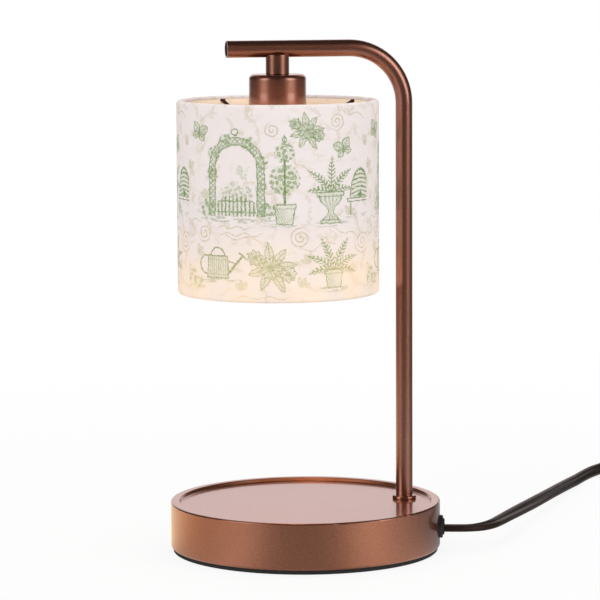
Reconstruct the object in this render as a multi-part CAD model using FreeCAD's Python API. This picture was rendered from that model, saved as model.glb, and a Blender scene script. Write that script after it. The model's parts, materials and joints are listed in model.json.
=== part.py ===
import FreeCAD, Part
import math
import os
from FreeCAD import Placement, Rotation, Vector

# Candle warmer lamp. Millimetres, +Z up, origin at the centre of the foot on the table.
# The post stands at +X and the arm runs towards -X, with the lamp head hanging under it.

# Base
base_radius = 80.0
base_height = 29.8  # table to the top of the rim
cover_sheet = 1.2
recess_depth = 2.0
rim_width = 4.8
rim_slope = 1.2  # run of the slope from the rim down to the recess
rim_radius = 0.8
cover_edge_radius = 1.0
cover_curl_radius = 1.5
lip_width = 3.0  # how far the cover turns in under its side
pad_thickness = 2.3
pad_inset = 1.3
plate_thickness = 1.0
plate_gap = 0.4
weight_thickness = 9.0
weight_gap = 0.8
weight_edge_radius = 1.5
boss_inset = 22.0  # bosses to the base's side
boss_radius = 5.0
boss_angles = (70.0, 190.0, 310.0)
base_screw_radius = 1.9
base_screw_head = 3.6
base_screw_length = 8.0
base_screw_point = 1.0

# Post and arm: one bent tube
tube_radius = 5.0
tube_wall = 0.8
post_inset = 19.5  # post to the base's side
arm_axis = 297.2
bend_radius = 33.1
arm_end = -46.0
plug_recess = 0.6
plug_length = 6.0
collar_radius = 7.1
collar_height = 2.2
washer_radius = 8.6
washer_thickness = 1.2
washer_teeth = 12
post_nut_across = 14.0
post_nut_height = 3.6
thread_tail = 0.8  # tube end below its nut

# Lamp head
lamp_x = -15.6
stem_radius = 6.9
stem_drop = 9.75  # from the underside of the arm to the cap
saddle_height = 2.0
stem_edge_radius = 1.1
nipple_radius = 4.8
nipple_bore = 4.0
nipple_seat = 7.6  # thread engaged in the stem
passage_radius = 3.7
cap_radius = 16.8
cap_flare = 0.6
cap_flare_height = 22.0
cap_lip = 1.2
cap_height = 32.7
cap_wall = 1.0
cap_shoulder = 3.0
cap_nut_across = 14.0
cap_nut_height = 3.5
nipple_tail = 1.2
bracket_length = 26.0
bracket_width = 14.0
bracket_sheet = 1.0
bracket_drop = 9.1  # underside of the cap to the underside of its feet
bracket_foot = 7.0
holder_screw_spacing = 19.0
holder_screw_radius = 1.45
holder_screw_head = 2.7
holder_screw_head_height = 1.7
sleeve_radius = 14.4
sleeve_wall = 0.9
sleeve_floor = 1.2
body_height = 13.8
body_edge_radius = 0.8
fitter_radius = 20.0
fitter_thickness = 1.2
ring_nut_radius = 19.2
ring_nut_height = 4.8
ring_nut_grooves = 24
sleeve_tail = 0.4

# Bulb, GU10
pin_spacing = 10.0
pin_shank = 1.55
pin_head = 2.5
pin_neck_length = 3.2
pin_head_length = 3.5
pin_root = 3.6
bulb_twist = 25.0  # degrees from locked to free
slot_floor = 2.5
bulb_gap = 0.4
bulb_base_radius = 11.5
bulb_base_height = 13.0
bulb_length = 46.6  # shoulder to the front edge of the reflector
neck_radius = 8.0
neck_depth = 8.6
reflector_radius = 25.0
reflector_wall = 1.5
reflector_cone_top = 15.0
reflector_cone_bottom = 41.0
reflector_shoulder_radius = 21.5
reflector_shoulder_drop = 21.7
lens_thickness = 2.0
lens_dome = 1.2
capsule_radius = 5.0
capsule_length = 22.0
pinch_width = 8.0
pinch_thickness = 3.0

# Shade
shade_radius = 59.3
shade_top = 267.5
shade_height = 113.3
fabric_thickness = 0.8
fold_width = 4.2
fold_depth = 5.0
fold_radius = 2.0
spider_wire = 1.2
spider_arm_wire = 1.1
spider_weld = 0.25  # how far the arms sink into the plate they are welded to
spider_arms = 4
spider_first_angle = 25.0
spider_bend = 4.0
notch_reach = 0.8  # how far the hem's notches run past the centre of the ring wire
fold_clearance = 0.1

# Wiring
cord_width = 7.5
cord_thickness = 3.9
cord_radius = 2.88  # round tube of the flat cord's own section area
lead_radius = 0.9
lead_offset = 2.6
supply_radius = 1.3
crimp_radius = 3.3
crimp_bore = 2.75
crimp_length = 15.0
crimp_entry = 3.0
crimp_mouth_x = 30.0
crimp_side = 9.0
relief_angle = -17.0
relief_height = 14.3
relief_head = 6.8
relief_head_thickness = 1.8
relief_boss = 4.9
relief_boss_height = 0.9
relief_barrel = 5.8
relief_barrel_length = 9.0
cord_drop = 1.0  # the cord's slot sits this much below the bushing's axis
core_pitch = 2.7  # between two leads in one crimp cap
core_lead_in = 5.5  # last run of a core before its crimp cap
core_part = 0.7  # how far a core has moved off from its lead by then
core_plans = [  # where the two supply cores turn on the way to their caps, seen from above
    [(53.5, -12.4), (45.5, -3.6), (39.0, 4.4)],
    [(50.0, -17.0), (39.5, -12.2)],
]

# In-line dimmer
case_length = 70.0
case_width = 31.0
case_nose = 14.0
case_shoulder = 25.0
case_height = 21.0
case_split = 8.0
case_wall = 1.7
case_floor = 1.8
case_edge_radius = 2.0
case_top_radius = 3.2
wheel_radius = 10.0
wheel_thickness = 5.6
wheel_rise = 2.2  # above the case
wheel_u = 6.0
wheel_grooves = 36
wheel_groove_radius = 0.45
axle_radius = 2.0
axle_left = 8.0
axle_right = 9.0
board_length = 42.0
board_width = 15.2
board_thickness = 1.6
board_height = 4.0
case_post_radius = 2.7
case_post_u = (-17.0, 20.0)
case_post_v = 10.4
case_screw_radius = 1.3
case_screw_head = 2.2
case_screw_length = 13.0
screw_recess = 1.5
rib_thickness = 1.5
rib_u = (-15.0, 17.5)  # ribs under the board
bearing_width = 6.4
pot_radius = 5.8
pot_thickness = 5.8

# Plug
plug_body_length = 34.0
plug_width = 24.0
plug_height = 15.0
plug_waist = 17.0
plug_tail_width = 11.0
plug_tail_height = 7.0
tail_grooves = (2.0, 4.4, 6.8)  # from the cord's entry
tail_groove_width = 1.0
tail_groove_depth = 0.9
blade_spacing = 12.7
blade_thickness = 1.5
blade_width = 6.35
neutral_width = 7.9
blade_length = 17.5
blade_root = 10.0

# Stored coil
coil_centre = (368.3, 157.5)
coil_inner = 32.0
coil_outer = 48.0
coil_bottom = 1.0
coil_height = 12.2
coil_edge_radius = 3.0
tie_sheet = 0.8
tie_width = 5.0

# Fits
fit = 0.05  # screw threads, pins and spigots
easy_fit = 0.3  # through holes and soft parts

# Routes of the free cord, chosen point by point
lead_route = [
    (79.1, -24.2, 13.3),
    (86.7, -26.5, 13.3),
    (95.2, -26.3, 13.0),
    (103.2, -23.4, 13.0),
    (110.4, -17.7, 13.2),
    (117.0, -8.0, 13.0),
    (127.8, 9.8, 12.4),
    (141.4, 33.4, 11.1),
    (156.5, 59.2, 9.7),
    (174.3, 91.1, 7.8),
    (192.8, 124.4, 5.9),
    (211.0, 155.7, 4.2),
    (228.2, 182.5, 3.2),
    (239.4, 198.6, 2.9),
    (252.6, 213.3, 3.6),
    (266.2, 223.3, 6.0),
    (280.0, 228.9, 8.0),
    (293.0, 231.2, 8.0),
]
tail_route = [
    (361.95, 243.4, 8.0),
    (374.75, 245.66, 8.0),
    (387.5, 243.3, 6.9),
    (398.8, 236.8, 5.3),
    (407.1, 226.8, 4.0),
    (411.0, 214.3, 3.2),
    (411.2, 195.3, 2.9),
    (409.6, 177.0, 2.9),
]
end_route = [
    (352.8, 117.4, 10.8),
    (338.8, 114.8, 9.3),
    (326.8, 113.5, 7.5),
    (314.8, 113.5, 7.5),
]

# Places and heights that follow from the sizes above
post_x = base_radius - post_inset
boss_circle_radius = base_radius - boss_inset
deck_top = base_height - recess_depth
deck_bottom = deck_top - cover_sheet
weight_bottom = deck_bottom - weight_thickness
plate_top = pad_thickness + plate_thickness
washer_bottom = weight_bottom - washer_thickness
post_nut_bottom = washer_bottom - post_nut_height
tube_bottom = post_nut_bottom - thread_tail
stem_top = arm_axis - tube_radius + saddle_height
cap_top = arm_axis - tube_radius - stem_drop
cap_bottom = cap_top - cap_height
bracket_top = cap_top - cap_wall
cap_nut_top = bracket_top - bracket_sheet
cap_nut_bottom = cap_nut_top - cap_nut_height
nipple_bottom = cap_nut_bottom - nipple_tail
nipple_top = cap_top + nipple_seat
sleeve_top = bracket_top - bracket_drop
body_top = sleeve_top - sleeve_floor
body_bottom = body_top - body_height
fitter_bottom = cap_bottom - fitter_thickness
ring_nut_bottom = fitter_bottom - ring_nut_height
sleeve_bottom = ring_nut_bottom - sleeve_tail
bulb_top = body_bottom - bulb_gap
bulb_bottom = bulb_top - bulb_length
chamber_bottom = body_bottom + slot_floor
pin_top = bulb_top + pin_neck_length + pin_head_length
contact_sheet = 0.5
contact_bottom = pin_top + easy_fit
chamber_top = contact_bottom + contact_sheet
shade_bottom = shade_top - shade_height
wire_inset = shade_radius - fabric_thickness - fold_clearance - spider_wire
top_wire_height = shade_top - fabric_thickness - fold_clearance - spider_wire
bottom_wire_height = shade_bottom + fabric_thickness + fold_clearance + spider_wire
weight_radius = base_radius - rim_width - rim_slope - weight_gap
wheel_axis = case_height + wheel_rise - wheel_radius

UP = Vector(0, 0, 1)


# Outlines and basic forms

def direction(start, end):
    return Vector(end[0] - start[0], end[1] - start[1], 0).normalize()


def outline(corners, upright=False):
    """Closed wire through (x, y, radius) corners, each corner rounded by its radius."""
    def lay(point):
        return Vector(point.x, 0, point.y) if upright else point

    joins = []
    count = len(corners)
    for i, (x, y, radius) in enumerate(corners):
        here = Vector(x, y, 0)
        back = direction(corners[i], corners[i - 1])
        ahead = direction(corners[i], corners[(i + 1) % count])
        half = back.getAngle(ahead) / 2
        if radius <= 0 or half > math.pi / 2 - 1e-6:
            joins.append((here, None, here))
            continue
        reach = radius / math.tan(half)
        inward = (back + ahead).normalize()
        middle = here + inward * (radius / math.sin(half) - radius)
        joins.append((here + back * reach, middle, here + ahead * reach))
    edges = []
    for i, (start, middle, end) in enumerate(joins):
        last = joins[i - 1][2]
        if last.distanceToPoint(start) > 1e-6:
            edges.append(Part.LineSegment(lay(last), lay(start)).toShape())
        if middle is not None:
            edges.append(Part.Arc(lay(start), lay(middle), lay(end)).toShape())
    return Part.Wire(edges)


def beside(corners, distance, closed=False):
    """The same line moved to its right by distance, with its rounded corners kept concentric."""
    moved = []
    last = len(corners) - 1
    for i, (x, y, radius) in enumerate(corners):
        before = direction(corners[i - 1], corners[i]) if closed or i > 0 else None
        after = direction(corners[i], corners[(i + 1) % len(corners)]) if closed or i < last else None
        before = before or after
        after = after or before
        side_before = Vector(before.y, -before.x, 0)
        side_after = Vector(after.y, -after.x, 0)
        mitre = (side_before + side_after) * (1 / (1 + side_before.dot(side_after)))
        turn = before.cross(after).z
        grown = radius + math.copysign(distance, turn) if radius > 0 else 0
        moved.append((x + distance * mitre.x, y + distance * mitre.y, max(grown, 0)))
    return moved


def turned(corners, x=0.0, y=0.0):
    """Solid of revolution about a vertical axis, from (radius, height, corner radius) corners."""
    solid = Part.Face(outline(corners, upright=True)).revolve(Vector(0, 0, 0), UP, 360)
    solid.translate(Vector(x, y, 0))
    return solid


def turned_shell(corners, wall, x=0.0, y=0.0):
    """Thin turned wall whose outer face follows the corners; the wall lies to their right."""
    inner = beside(corners, wall)
    return turned(corners + inner[::-1], x, y)


def extruded(corners, bottom, top):
    solid = Part.Face(outline(corners)).extrude(UP * (top - bottom))
    solid.translate(UP * bottom)
    return solid


def disc(radius, bottom, top, x=0.0, y=0.0):
    return Part.makeCylinder(radius, top - bottom, Vector(x, y, bottom))


def ring(outer, inner, bottom, top, x=0.0, y=0.0):
    return disc(outer, bottom, top, x, y).cut(disc(inner, bottom, top, x, y))


def block(x0, x1, y0, y1, z0, z1):
    return Part.makeBox(x1 - x0, y1 - y0, z1 - z0, Vector(x0, y0, z0))


def polar(radius, angle, height=0.0):
    turn = math.radians(angle)
    return Vector(radius * math.cos(turn), radius * math.sin(turn), height)


def spun(shape, angle, x=0.0, y=0.0):
    """A copy of the shape turned about a vertical axis."""
    copy = shape.copy()
    copy.rotate(Vector(x, y, 0), UP, angle)
    return copy


def hex_nut(across, bore, bottom, top, x, y):
    corner = across / math.sqrt(3)
    points = [polar(corner, 60 * k) for k in range(7)]
    prism = Part.Face(Part.makePolygon(points)).extrude(UP * (top - bottom))
    prism.translate(Vector(x, y, bottom))
    chamfer = corner - across / 2
    barrel = turned([
        (0, bottom, 0), (across / 2, bottom, 0), (corner, bottom + chamfer / 2, 0),
        (corner, top - chamfer / 2, 0), (across / 2, top, 0), (0, top, 0)], x, y)
    return prism.common(barrel).cut(disc(bore, bottom, top, x, y))


def rounded_path(points, radii):
    """Open wire of straight runs joined by tangent arcs of the given radii."""
    points = [Vector(*p) for p in points]
    edges = []
    last = points[0]
    for i in range(1, len(points) - 1):
        here = points[i]
        back = (points[i - 1] - here).normalize()
        ahead = (points[i + 1] - here).normalize()
        half = back.getAngle(ahead) / 2
        reach = radii[i - 1] / math.tan(half)
        inward = (back + ahead).normalize()
        middle = here + inward * (radii[i - 1] / math.sin(half) - radii[i - 1])
        start, end = here + back * reach, here + ahead * reach
        edges.append(Part.LineSegment(last, start).toShape())
        edges.append(Part.Arc(start, middle, end).toShape())
        last = end
    edges.append(Part.LineSegment(last, points[-1]).toShape())
    return Part.Wire(edges)


def free_radii(points):
    """The arc radius at each inner point of a route: as large as its two runs allow."""
    points = [Vector(*p) for p in points]
    radii = []
    for before, here, after in zip(points, points[1:], points[2:]):
        turn = (here - before).getAngle(after - here)
        shorter = min(here.distanceToPoint(before), after.distanceToPoint(here))
        radii.append(0.45 * shorter / math.tan(turn / 2))
    return radii


def swept(path, radius):
    """Round rod along a path of lines and arcs."""
    edge = path.Edges[0]
    along = edge.tangentAt(edge.FirstParameter)
    section = Part.Wire(Part.Circle(edge.firstVertex().Point, along, radius).toShape())
    return path.makePipe(Part.Face(section))


def cord_tube(name, route):
    radii = free_radii(route)
    path = rounded_path(route, radii)
    solid = swept(path, cord_radius)
    share = solid.Volume / (math.pi * cord_radius ** 2 * path.Length)
    print(name, "length", round(path.Length, 1), "radii", [round(r, 1) for r in radii],
          "volume share", round(share, 4))
    return solid


def flat_cord_stub(start, length):
    """Straight stretch of flat twin cord along +X from x = start, centred on the axis."""
    half = cord_width / 2
    tall = cord_thickness / 2
    corners = [(-half, -tall, tall - fit / 2), (half, -tall, tall - fit / 2),
               (half, tall, tall - fit / 2), (-half, tall, tall - fit / 2)]
    stub = Part.Face(outline(corners)).extrude(UP * length)
    stub.rotate(Vector(0, 0, 0), UP, 90)
    stub.rotate(Vector(0, 0, 0), Vector(0, 1, 0), 90)
    stub.translate(Vector(start, 0, 0))
    return stub


def flat_cord_hole(start, length):
    """The slot that the flat cord passes through, along +X."""
    half = cord_width / 2 + fit
    tall = cord_thickness / 2 + fit
    corners = [(-half, -tall, tall - fit), (half, -tall, tall - fit),
               (half, tall, tall - fit), (-half, tall, tall - fit)]
    hole = Part.Face(outline(corners)).extrude(UP * length)
    hole.rotate(Vector(0, 0, 0), UP, 90)
    hole.rotate(Vector(0, 0, 0), Vector(0, 1, 0), 90)
    hole.translate(Vector(start, 0, 0))
    return hole


def pan_screw(head_radius, head_height, shank_radius, length):
    """Screw pointing up from its head's flat seat at z = 0, head below, cross recess under it."""
    head = turned([(0, -head_height, 0), (head_radius, -head_height, head_height * 0.6),
                   (head_radius, 0, 0), (0, 0, 0)])
    shank = turned([(0, 0, 0), (shank_radius, 0, 0), (shank_radius, length - shank_radius, 0),
                    (shank_radius * 0.4, length, 0), (0, length, 0)])
    arm = head_radius * 0.6
    slot = head_radius * 0.14
    depth = head_height * 0.45
    recess = block(-arm, arm, -slot, slot, -head_height, -head_height + depth)
    recess = recess.fuse(block(-slot, slot, -arm, arm, -head_height, -head_height + depth))
    return head.fuse(shank).cut(recess)


# Base

def cover_corners():
    return [
        (0, deck_top, 0),
        (base_radius - rim_width - rim_slope, deck_top, rim_radius),
        (base_radius - rim_width, base_height, rim_radius),
        (base_radius, base_height, cover_edge_radius),
        (base_radius, pad_thickness, cover_curl_radius),
        (base_radius - lip_width, pad_thickness, 0),
    ]


def relief_place():
    return Placement(UP * relief_height, Rotation(UP, relief_angle))


def placed(shape, place):
    copy = shape.copy()
    copy.Placement = place.multiply(copy.Placement)
    return copy


def base_cover():
    cover = turned_shell(cover_corners(), cover_sheet)
    cover = cover.cut(disc(tube_radius + fit, deck_bottom, deck_top, post_x))
    side_hole = Part.makeCylinder(relief_barrel + easy_fit, 3 * cover_sheet,
                                  Vector(base_radius - 2 * cover_sheet, 0, 0), Vector(1, 0, 0))
    return cover.cut(placed(side_hole, relief_place()))


def base_weight():
    """Cast disc under the deck, with screw bosses and a notch for the strain relief."""
    weight = turned([(0, weight_bottom, 0), (weight_radius, weight_bottom, weight_edge_radius),
                     (weight_radius, deck_bottom, 0), (0, deck_bottom, 0)])
    for angle in boss_angles:
        centre = polar(boss_circle_radius, angle)
        weight = weight.fuse(disc(boss_radius, plate_top, weight_bottom + fit, centre.x, centre.y))
        weight = weight.cut(disc(base_screw_radius + fit, plate_top, plate_top + base_screw_length,
                                 centre.x, centre.y))
    notch_side = relief_barrel + 2.0
    notch_inner = base_radius - cover_sheet - relief_barrel_length - 3.0
    notch = block(notch_inner, base_radius, -notch_side, notch_side, weight_bottom, deck_bottom)
    weight = weight.cut(spun(notch, relief_angle))
    return weight.cut(disc(tube_radius + fit, weight_bottom, deck_bottom, post_x))


def base_plate():
    radius = base_radius - lip_width - plate_gap
    plate = disc(radius, pad_thickness, plate_top)
    for angle in boss_angles:
        centre = polar(boss_circle_radius, angle)
        plate = plate.cut(turned([
            (0, pad_thickness, 0), (base_screw_head + fit, pad_thickness, 0),
            (base_screw_radius + fit, plate_top, 0), (0, plate_top, 0)], centre.x, centre.y))
    return plate


def base_screws():
    screws = []
    for angle in boss_angles:
        centre = polar(boss_circle_radius, angle)
        screws.append(turned([
            (0, pad_thickness, 0), (base_screw_head, pad_thickness, 0),
            (base_screw_radius, plate_top, 0),
            (base_screw_radius, pad_thickness + base_screw_length - base_screw_point, 0),
            (base_screw_radius - base_screw_point, pad_thickness + base_screw_length, 0),
            (0, pad_thickness + base_screw_length, 0)], centre.x, centre.y))
    return Part.makeCompound(screws)


def foot_pad():
    return turned([(0, 0, 0), (base_radius - pad_inset, 0, 0.6),
                   (base_radius - pad_inset, pad_thickness, 0), (0, pad_thickness, 0)])


# Post and arm

def arm_path(bottom, side=0.0):
    """Centreline of the tube from a height on the post to the open end of the arm."""
    points = [(post_x, side, bottom), (post_x, side, arm_axis), (arm_end, side, arm_axis)]
    return rounded_path(points, [bend_radius])


def arm_tube():
    path = arm_path(tube_bottom)
    tube = swept(path, tube_radius).cut(swept(path, tube_radius - tube_wall))
    wire_hole = disc(passage_radius, arm_axis - tube_radius, arm_axis, lamp_x)
    return tube.cut(wire_hole)


def arm_end_plug():
    """Moulded plug pressed into the open end of the arm, a little below its edge."""
    radius = tube_radius - tube_wall - fit
    plug = turned([(0, 0, 0), (radius, 0, 0.8), (radius, plug_length, 0.5), (0, plug_length, 0)])
    hollow = disc(radius - 1.2, 1.2, plug_length)
    plug = plug.cut(hollow)
    plug.rotate(Vector(0, 0, 0), Vector(0, 1, 0), 90)
    plug.translate(Vector(arm_end + plug_recess, 0, arm_axis))
    return plug


def post_collar():
    inner = tube_radius + fit
    return turned([(inner, deck_top, 0), (collar_radius, deck_top, 0.4),
                   (collar_radius, deck_top + collar_height, 1.0),
                   (inner, deck_top + collar_height, 0.3)], post_x)


def post_lock_washer():
    """External-tooth lock washer between the weight and the nut."""
    washer = ring(washer_radius, tube_radius + easy_fit, washer_bottom, weight_bottom, post_x)
    depth = 1.6
    notch = block(post_x + washer_radius - depth, post_x + washer_radius + 1, -0.7, 0.7,
                  washer_bottom, weight_bottom)
    for k in range(washer_teeth):
        washer = washer.cut(spun(notch, 360.0 * k / washer_teeth, post_x))
    return washer


def post_nut():
    return hex_nut(post_nut_across, tube_radius + fit, post_nut_bottom, washer_bottom, post_x, 0)


# Lamp head

def holder_stem():
    """Turned stem with a saddle that fits the underside of the arm, brazed to it."""
    stem = turned([(0, cap_top, 0), (stem_radius, cap_top, 0.4),
                   (stem_radius, stem_top, stem_edge_radius), (0, stem_top, 0)], lamp_x)
    saddle = Part.makeCylinder(tube_radius, 4 * stem_radius,
                               Vector(lamp_x - 2 * stem_radius, 0, arm_axis), Vector(1, 0, 0))
    stem = stem.cut(saddle)
    stem = stem.cut(disc(nipple_radius + fit, cap_top, nipple_top + fit, lamp_x))
    return stem.cut(disc(passage_radius, cap_top, stem_top, lamp_x))


def threaded_nipple():
    return ring(nipple_radius, nipple_bore, nipple_bottom, nipple_top, lamp_x)


def holder_cap():
    """Drawn cup with a rounded shoulder and a slightly flared mouth."""
    corners = [
        (nipple_radius + fit, cap_top, 0),
        (cap_radius, cap_top, cap_shoulder),
        (cap_radius, cap_bottom + cap_flare_height, 6.0),
        (cap_radius + cap_flare, cap_bottom + cap_lip, 3.0),
        (cap_radius + cap_flare, cap_bottom, 0),
    ]
    return turned_shell(corners, cap_wall, lamp_x)


def cap_nut():
    return hex_nut(cap_nut_across, nipple_radius + fit, cap_nut_bottom, cap_nut_top, lamp_x, 0)


def holder_bracket():
    """Bent strap that hangs the ceramic lampholder under the cap."""
    half = bracket_length / 2
    inner = half - bracket_sheet
    foot_bottom = sleeve_top
    foot_top = foot_bottom + bracket_sheet
    under = bracket_top - bracket_sheet
    corners = [
        (-half, bracket_top, bracket_sheet), (half, bracket_top, bracket_sheet),
        (half, foot_bottom, bracket_sheet), (half - bracket_foot, foot_bottom, 0),
        (half - bracket_foot, foot_top, 0), (inner, foot_top, 0), (inner, under, 0),
        (-inner, under, 0), (-inner, foot_top, 0), (-half + bracket_foot, foot_top, 0),
        (-half + bracket_foot, foot_bottom, 0), (-half, foot_bottom, bracket_sheet)]
    strap = Part.Face(outline(corners, upright=True)).extrude(Vector(0, bracket_width, 0))
    strap.translate(Vector(lamp_x, -bracket_width / 2, 0))
    strap = strap.cut(disc(nipple_radius + fit, under, bracket_top, lamp_x))
    for side in (-1, 1):
        strap = strap.cut(disc(holder_screw_radius + fit, foot_bottom, foot_top,
                               lamp_x + side * holder_screw_spacing / 2))
    return strap


def screw_seat():
    """Height of the seat of the two lampholder screws, inside the ceramic."""
    return body_bottom + holder_screw_head_height + easy_fit


def holder_screws():
    length = sleeve_top + bracket_sheet + 1.4 - screw_seat()
    screw = pan_screw(holder_screw_head, holder_screw_head_height, holder_screw_radius, length)
    screws = []
    for side in (-1, 1):
        copy = screw.copy()
        copy.translate(Vector(lamp_x + side * holder_screw_spacing / 2, 0, screw_seat()))
        screws.append(copy)
    return Part.makeCompound(screws)


def pin_slot(half_width, first, last, bottom, top):
    """Curved slot about the lamp's axis, round at both ends; angles in degrees."""
    middle = pin_spacing / 2
    band = ring(middle + half_width, middle - half_width, bottom, top)
    reach = 3 * pin_spacing
    wedge = Part.Face(Part.makePolygon([
        Vector(0, 0, bottom), polar(reach, first, bottom), polar(reach, last, bottom),
        Vector(0, 0, bottom)])).extrude(UP * (top - bottom))
    slot = band.common(wedge)
    for angle in (first, last):
        end = polar(middle, angle)
        slot = slot.fuse(disc(half_width, bottom, top, end.x, end.y))
    return slot.removeSplitter()


def pin_angles():
    return (90.0, 270.0)


def holder_body():
    """Ceramic GU10 lampholder: two keyhole slots open into the chambers of its contacts."""
    radius = sleeve_radius - sleeve_wall - easy_fit
    body = turned([(0, body_bottom, 0), (radius, body_bottom, body_edge_radius),
                   (radius, body_top, body_edge_radius), (0, body_top, 0)])
    lead_hole = lead_radius + easy_fit
    for angle in pin_angles():
        free = angle - bulb_twist
        entry = polar(pin_spacing / 2, free)
        body = body.cut(disc(pin_head + easy_fit, body_bottom, chamber_bottom, entry.x, entry.y))
        body = body.cut(pin_slot(pin_shank + easy_fit, free, angle, body_bottom, chamber_bottom))
        body = body.cut(pin_slot(pin_head + easy_fit, free, angle, chamber_bottom, chamber_top))
        lead = polar(lead_offset, angle)
        body = body.cut(disc(lead_hole, chamber_bottom, body_top, lead.x, lead.y))
    for side in (-1, 1):
        x = side * holder_screw_spacing / 2
        body = body.cut(disc(holder_screw_head + easy_fit, body_bottom, screw_seat(), x))
        body = body.cut(disc(holder_screw_radius + fit, body_bottom, body_top, x))
    body.translate(Vector(lamp_x, 0, 0))
    return body


def holder_contacts():
    """Brass leaves on the ceilings of the two chambers, where the pins stand when locked."""
    leaves = []
    for angle in pin_angles():
        leaf = pin_slot(pin_head - fit, angle - 8, angle, contact_bottom, chamber_top)
        leaf.translate(Vector(lamp_x, 0, 0))
        leaves.append(leaf)
    return Part.makeCompound(leaves)


def holder_sleeve():
    """Threaded cup that holds the ceramic and carries the shade's ring nut."""
    corners = [(0, sleeve_top, 0), (sleeve_radius, sleeve_top, 0.8), (sleeve_radius, sleeve_bottom, 0)]
    cup = turned([
        *corners, (sleeve_radius - sleeve_wall, sleeve_bottom, 0),
        (sleeve_radius - sleeve_wall, body_top, 0), (0, body_top, 0)])
    cup = cup.cut(disc(nipple_bore, body_top, sleeve_top))
    for side in (-1, 1):
        cup = cup.cut(disc(holder_screw_radius + fit, body_top, sleeve_top,
                           side * holder_screw_spacing / 2))
    cup.translate(Vector(lamp_x, 0, 0))
    return cup


def shade_ring_nut():
    """Knurled ring that clamps the shade's fitter plate against the cap."""
    bore = sleeve_radius + fit
    nut = turned([(bore, ring_nut_bottom, 0.4), (ring_nut_radius, ring_nut_bottom, 0.9),
                  (ring_nut_radius, fitter_bottom, 0.5), (bore, fitter_bottom, 0)])
    groove = disc(0.8, ring_nut_bottom, fitter_bottom, ring_nut_radius + 0.3)
    for k in range(ring_nut_grooves):
        nut = nut.cut(spun(groove, 360.0 * k / ring_nut_grooves))
    nut.translate(Vector(lamp_x, 0, 0))
    return nut


# Bulb

def bulb_base():
    """Ceramic base of the bulb, bored for the reflector's neck and the two pins."""
    bottom = bulb_top - bulb_base_height
    base = turned([(0, bottom, 0), (bulb_base_radius - 1.0, bottom, 0.6),
                   (bulb_base_radius, bulb_top, 1.4), (0, bulb_top, 0)])
    base = base.cut(disc(neck_radius + fit, bottom, bottom + neck_depth))
    for angle in pin_angles():
        pin = polar(pin_spacing / 2, angle)
        base = base.cut(disc(pin_shank + fit, bulb_top - pin_root, bulb_top, pin.x, pin.y))
    base.translate(Vector(lamp_x, 0, 0))
    return base


def bulb_pins():
    pins = []
    neck_top = bulb_top + pin_neck_length
    for angle in pin_angles():
        at = polar(pin_spacing / 2, angle)
        pins.append(turned([
            (0, bulb_top - pin_root, 0), (pin_shank, bulb_top - pin_root, 0), (pin_shank, neck_top, 0),
            (pin_head, neck_top, 0.3), (pin_head, pin_top, 0.7), (0, pin_top, 0)],
            lamp_x + at.x, at.y))
    return Part.makeCompound(pins)


def reflector_corners():
    base_bottom = bulb_top - bulb_base_height
    return [
        (neck_radius, base_bottom + neck_depth, 0),
        (neck_radius, bulb_top - reflector_cone_top, 3.0),
        (reflector_shoulder_radius, bulb_top - reflector_shoulder_drop, 15.0),
        (reflector_radius, bulb_top - reflector_cone_bottom, 0),
        (reflector_radius, bulb_bottom, 0),
    ]


def bulb_reflector():
    return turned_shell(reflector_corners(), reflector_wall, lamp_x)


def bulb_lens():
    """Front glass, slightly domed, seated inside the reflector's edge."""
    radius = reflector_radius - reflector_wall - fit
    top = bulb_bottom + lens_thickness
    curve = (radius ** 2 + lens_dome ** 2) / (2 * lens_dome)
    centre = Vector(lamp_x, 0, bulb_bottom - lens_dome + curve)
    plate = disc(radius, bulb_bottom - lens_dome, top, lamp_x)
    return plate.common(Part.makeSphere(curve, centre))


def bulb_capsule():
    """Halogen capsule: a domed quartz tube on a flat pinch that stands in the neck."""
    top = bulb_top - bulb_base_height + neck_depth
    shoulder = top - neck_depth - 2.0
    glass = turned([(0, shoulder - capsule_length, 0),
                    (capsule_radius, shoulder - capsule_length, capsule_radius - 0.2),
                    (capsule_radius, shoulder, 1.5), (0, shoulder, 0)])
    pinch = block(-pinch_width / 2, pinch_width / 2, -pinch_thickness / 2, pinch_thickness / 2,
                  shoulder - 1.5, top)
    capsule = glass.fuse(pinch)
    capsule.translate(Vector(lamp_x, 0, 0))
    return capsule


# Shade

def fabric_corners():
    """Section of the laminated cloth: a tall wall with a hem folded over each wire ring."""
    hem = shade_radius - fold_width
    return [
        (hem, shade_top - fold_depth, 0),
        (hem, shade_top, fold_radius),
        (shade_radius, shade_top, fold_radius),
        (shade_radius, shade_bottom, fold_radius),
        (hem, shade_bottom, fold_radius),
        (hem, shade_bottom + fold_depth, 0),
    ]


def spider_arm_points():
    seat = cap_bottom + spider_arm_wire - spider_weld
    start = cap_radius + cap_flare + 0.3
    return [(start, 0, seat), (start + 5.0, 0, seat), (wire_inset, 0, top_wire_height)]


def spider_angles():
    return [spider_first_angle + 360.0 * k / spider_arms for k in range(spider_arms)]


def shade_fabric():
    fabric = turned_shell(fabric_corners(), fabric_thickness)
    points = spider_arm_points()
    rise = (points[2][2] - points[1][2]) / (points[2][0] - points[1][0])
    points[2] = (points[2][0] + notch_reach, 0, points[2][2] + notch_reach * rise)
    notch = swept(rounded_path(points, [spider_bend]), spider_arm_wire + easy_fit)
    for angle in spider_angles():
        fabric = fabric.cut(spun(notch, angle))
    fabric.translate(Vector(lamp_x, 0, 0))
    return fabric


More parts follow.
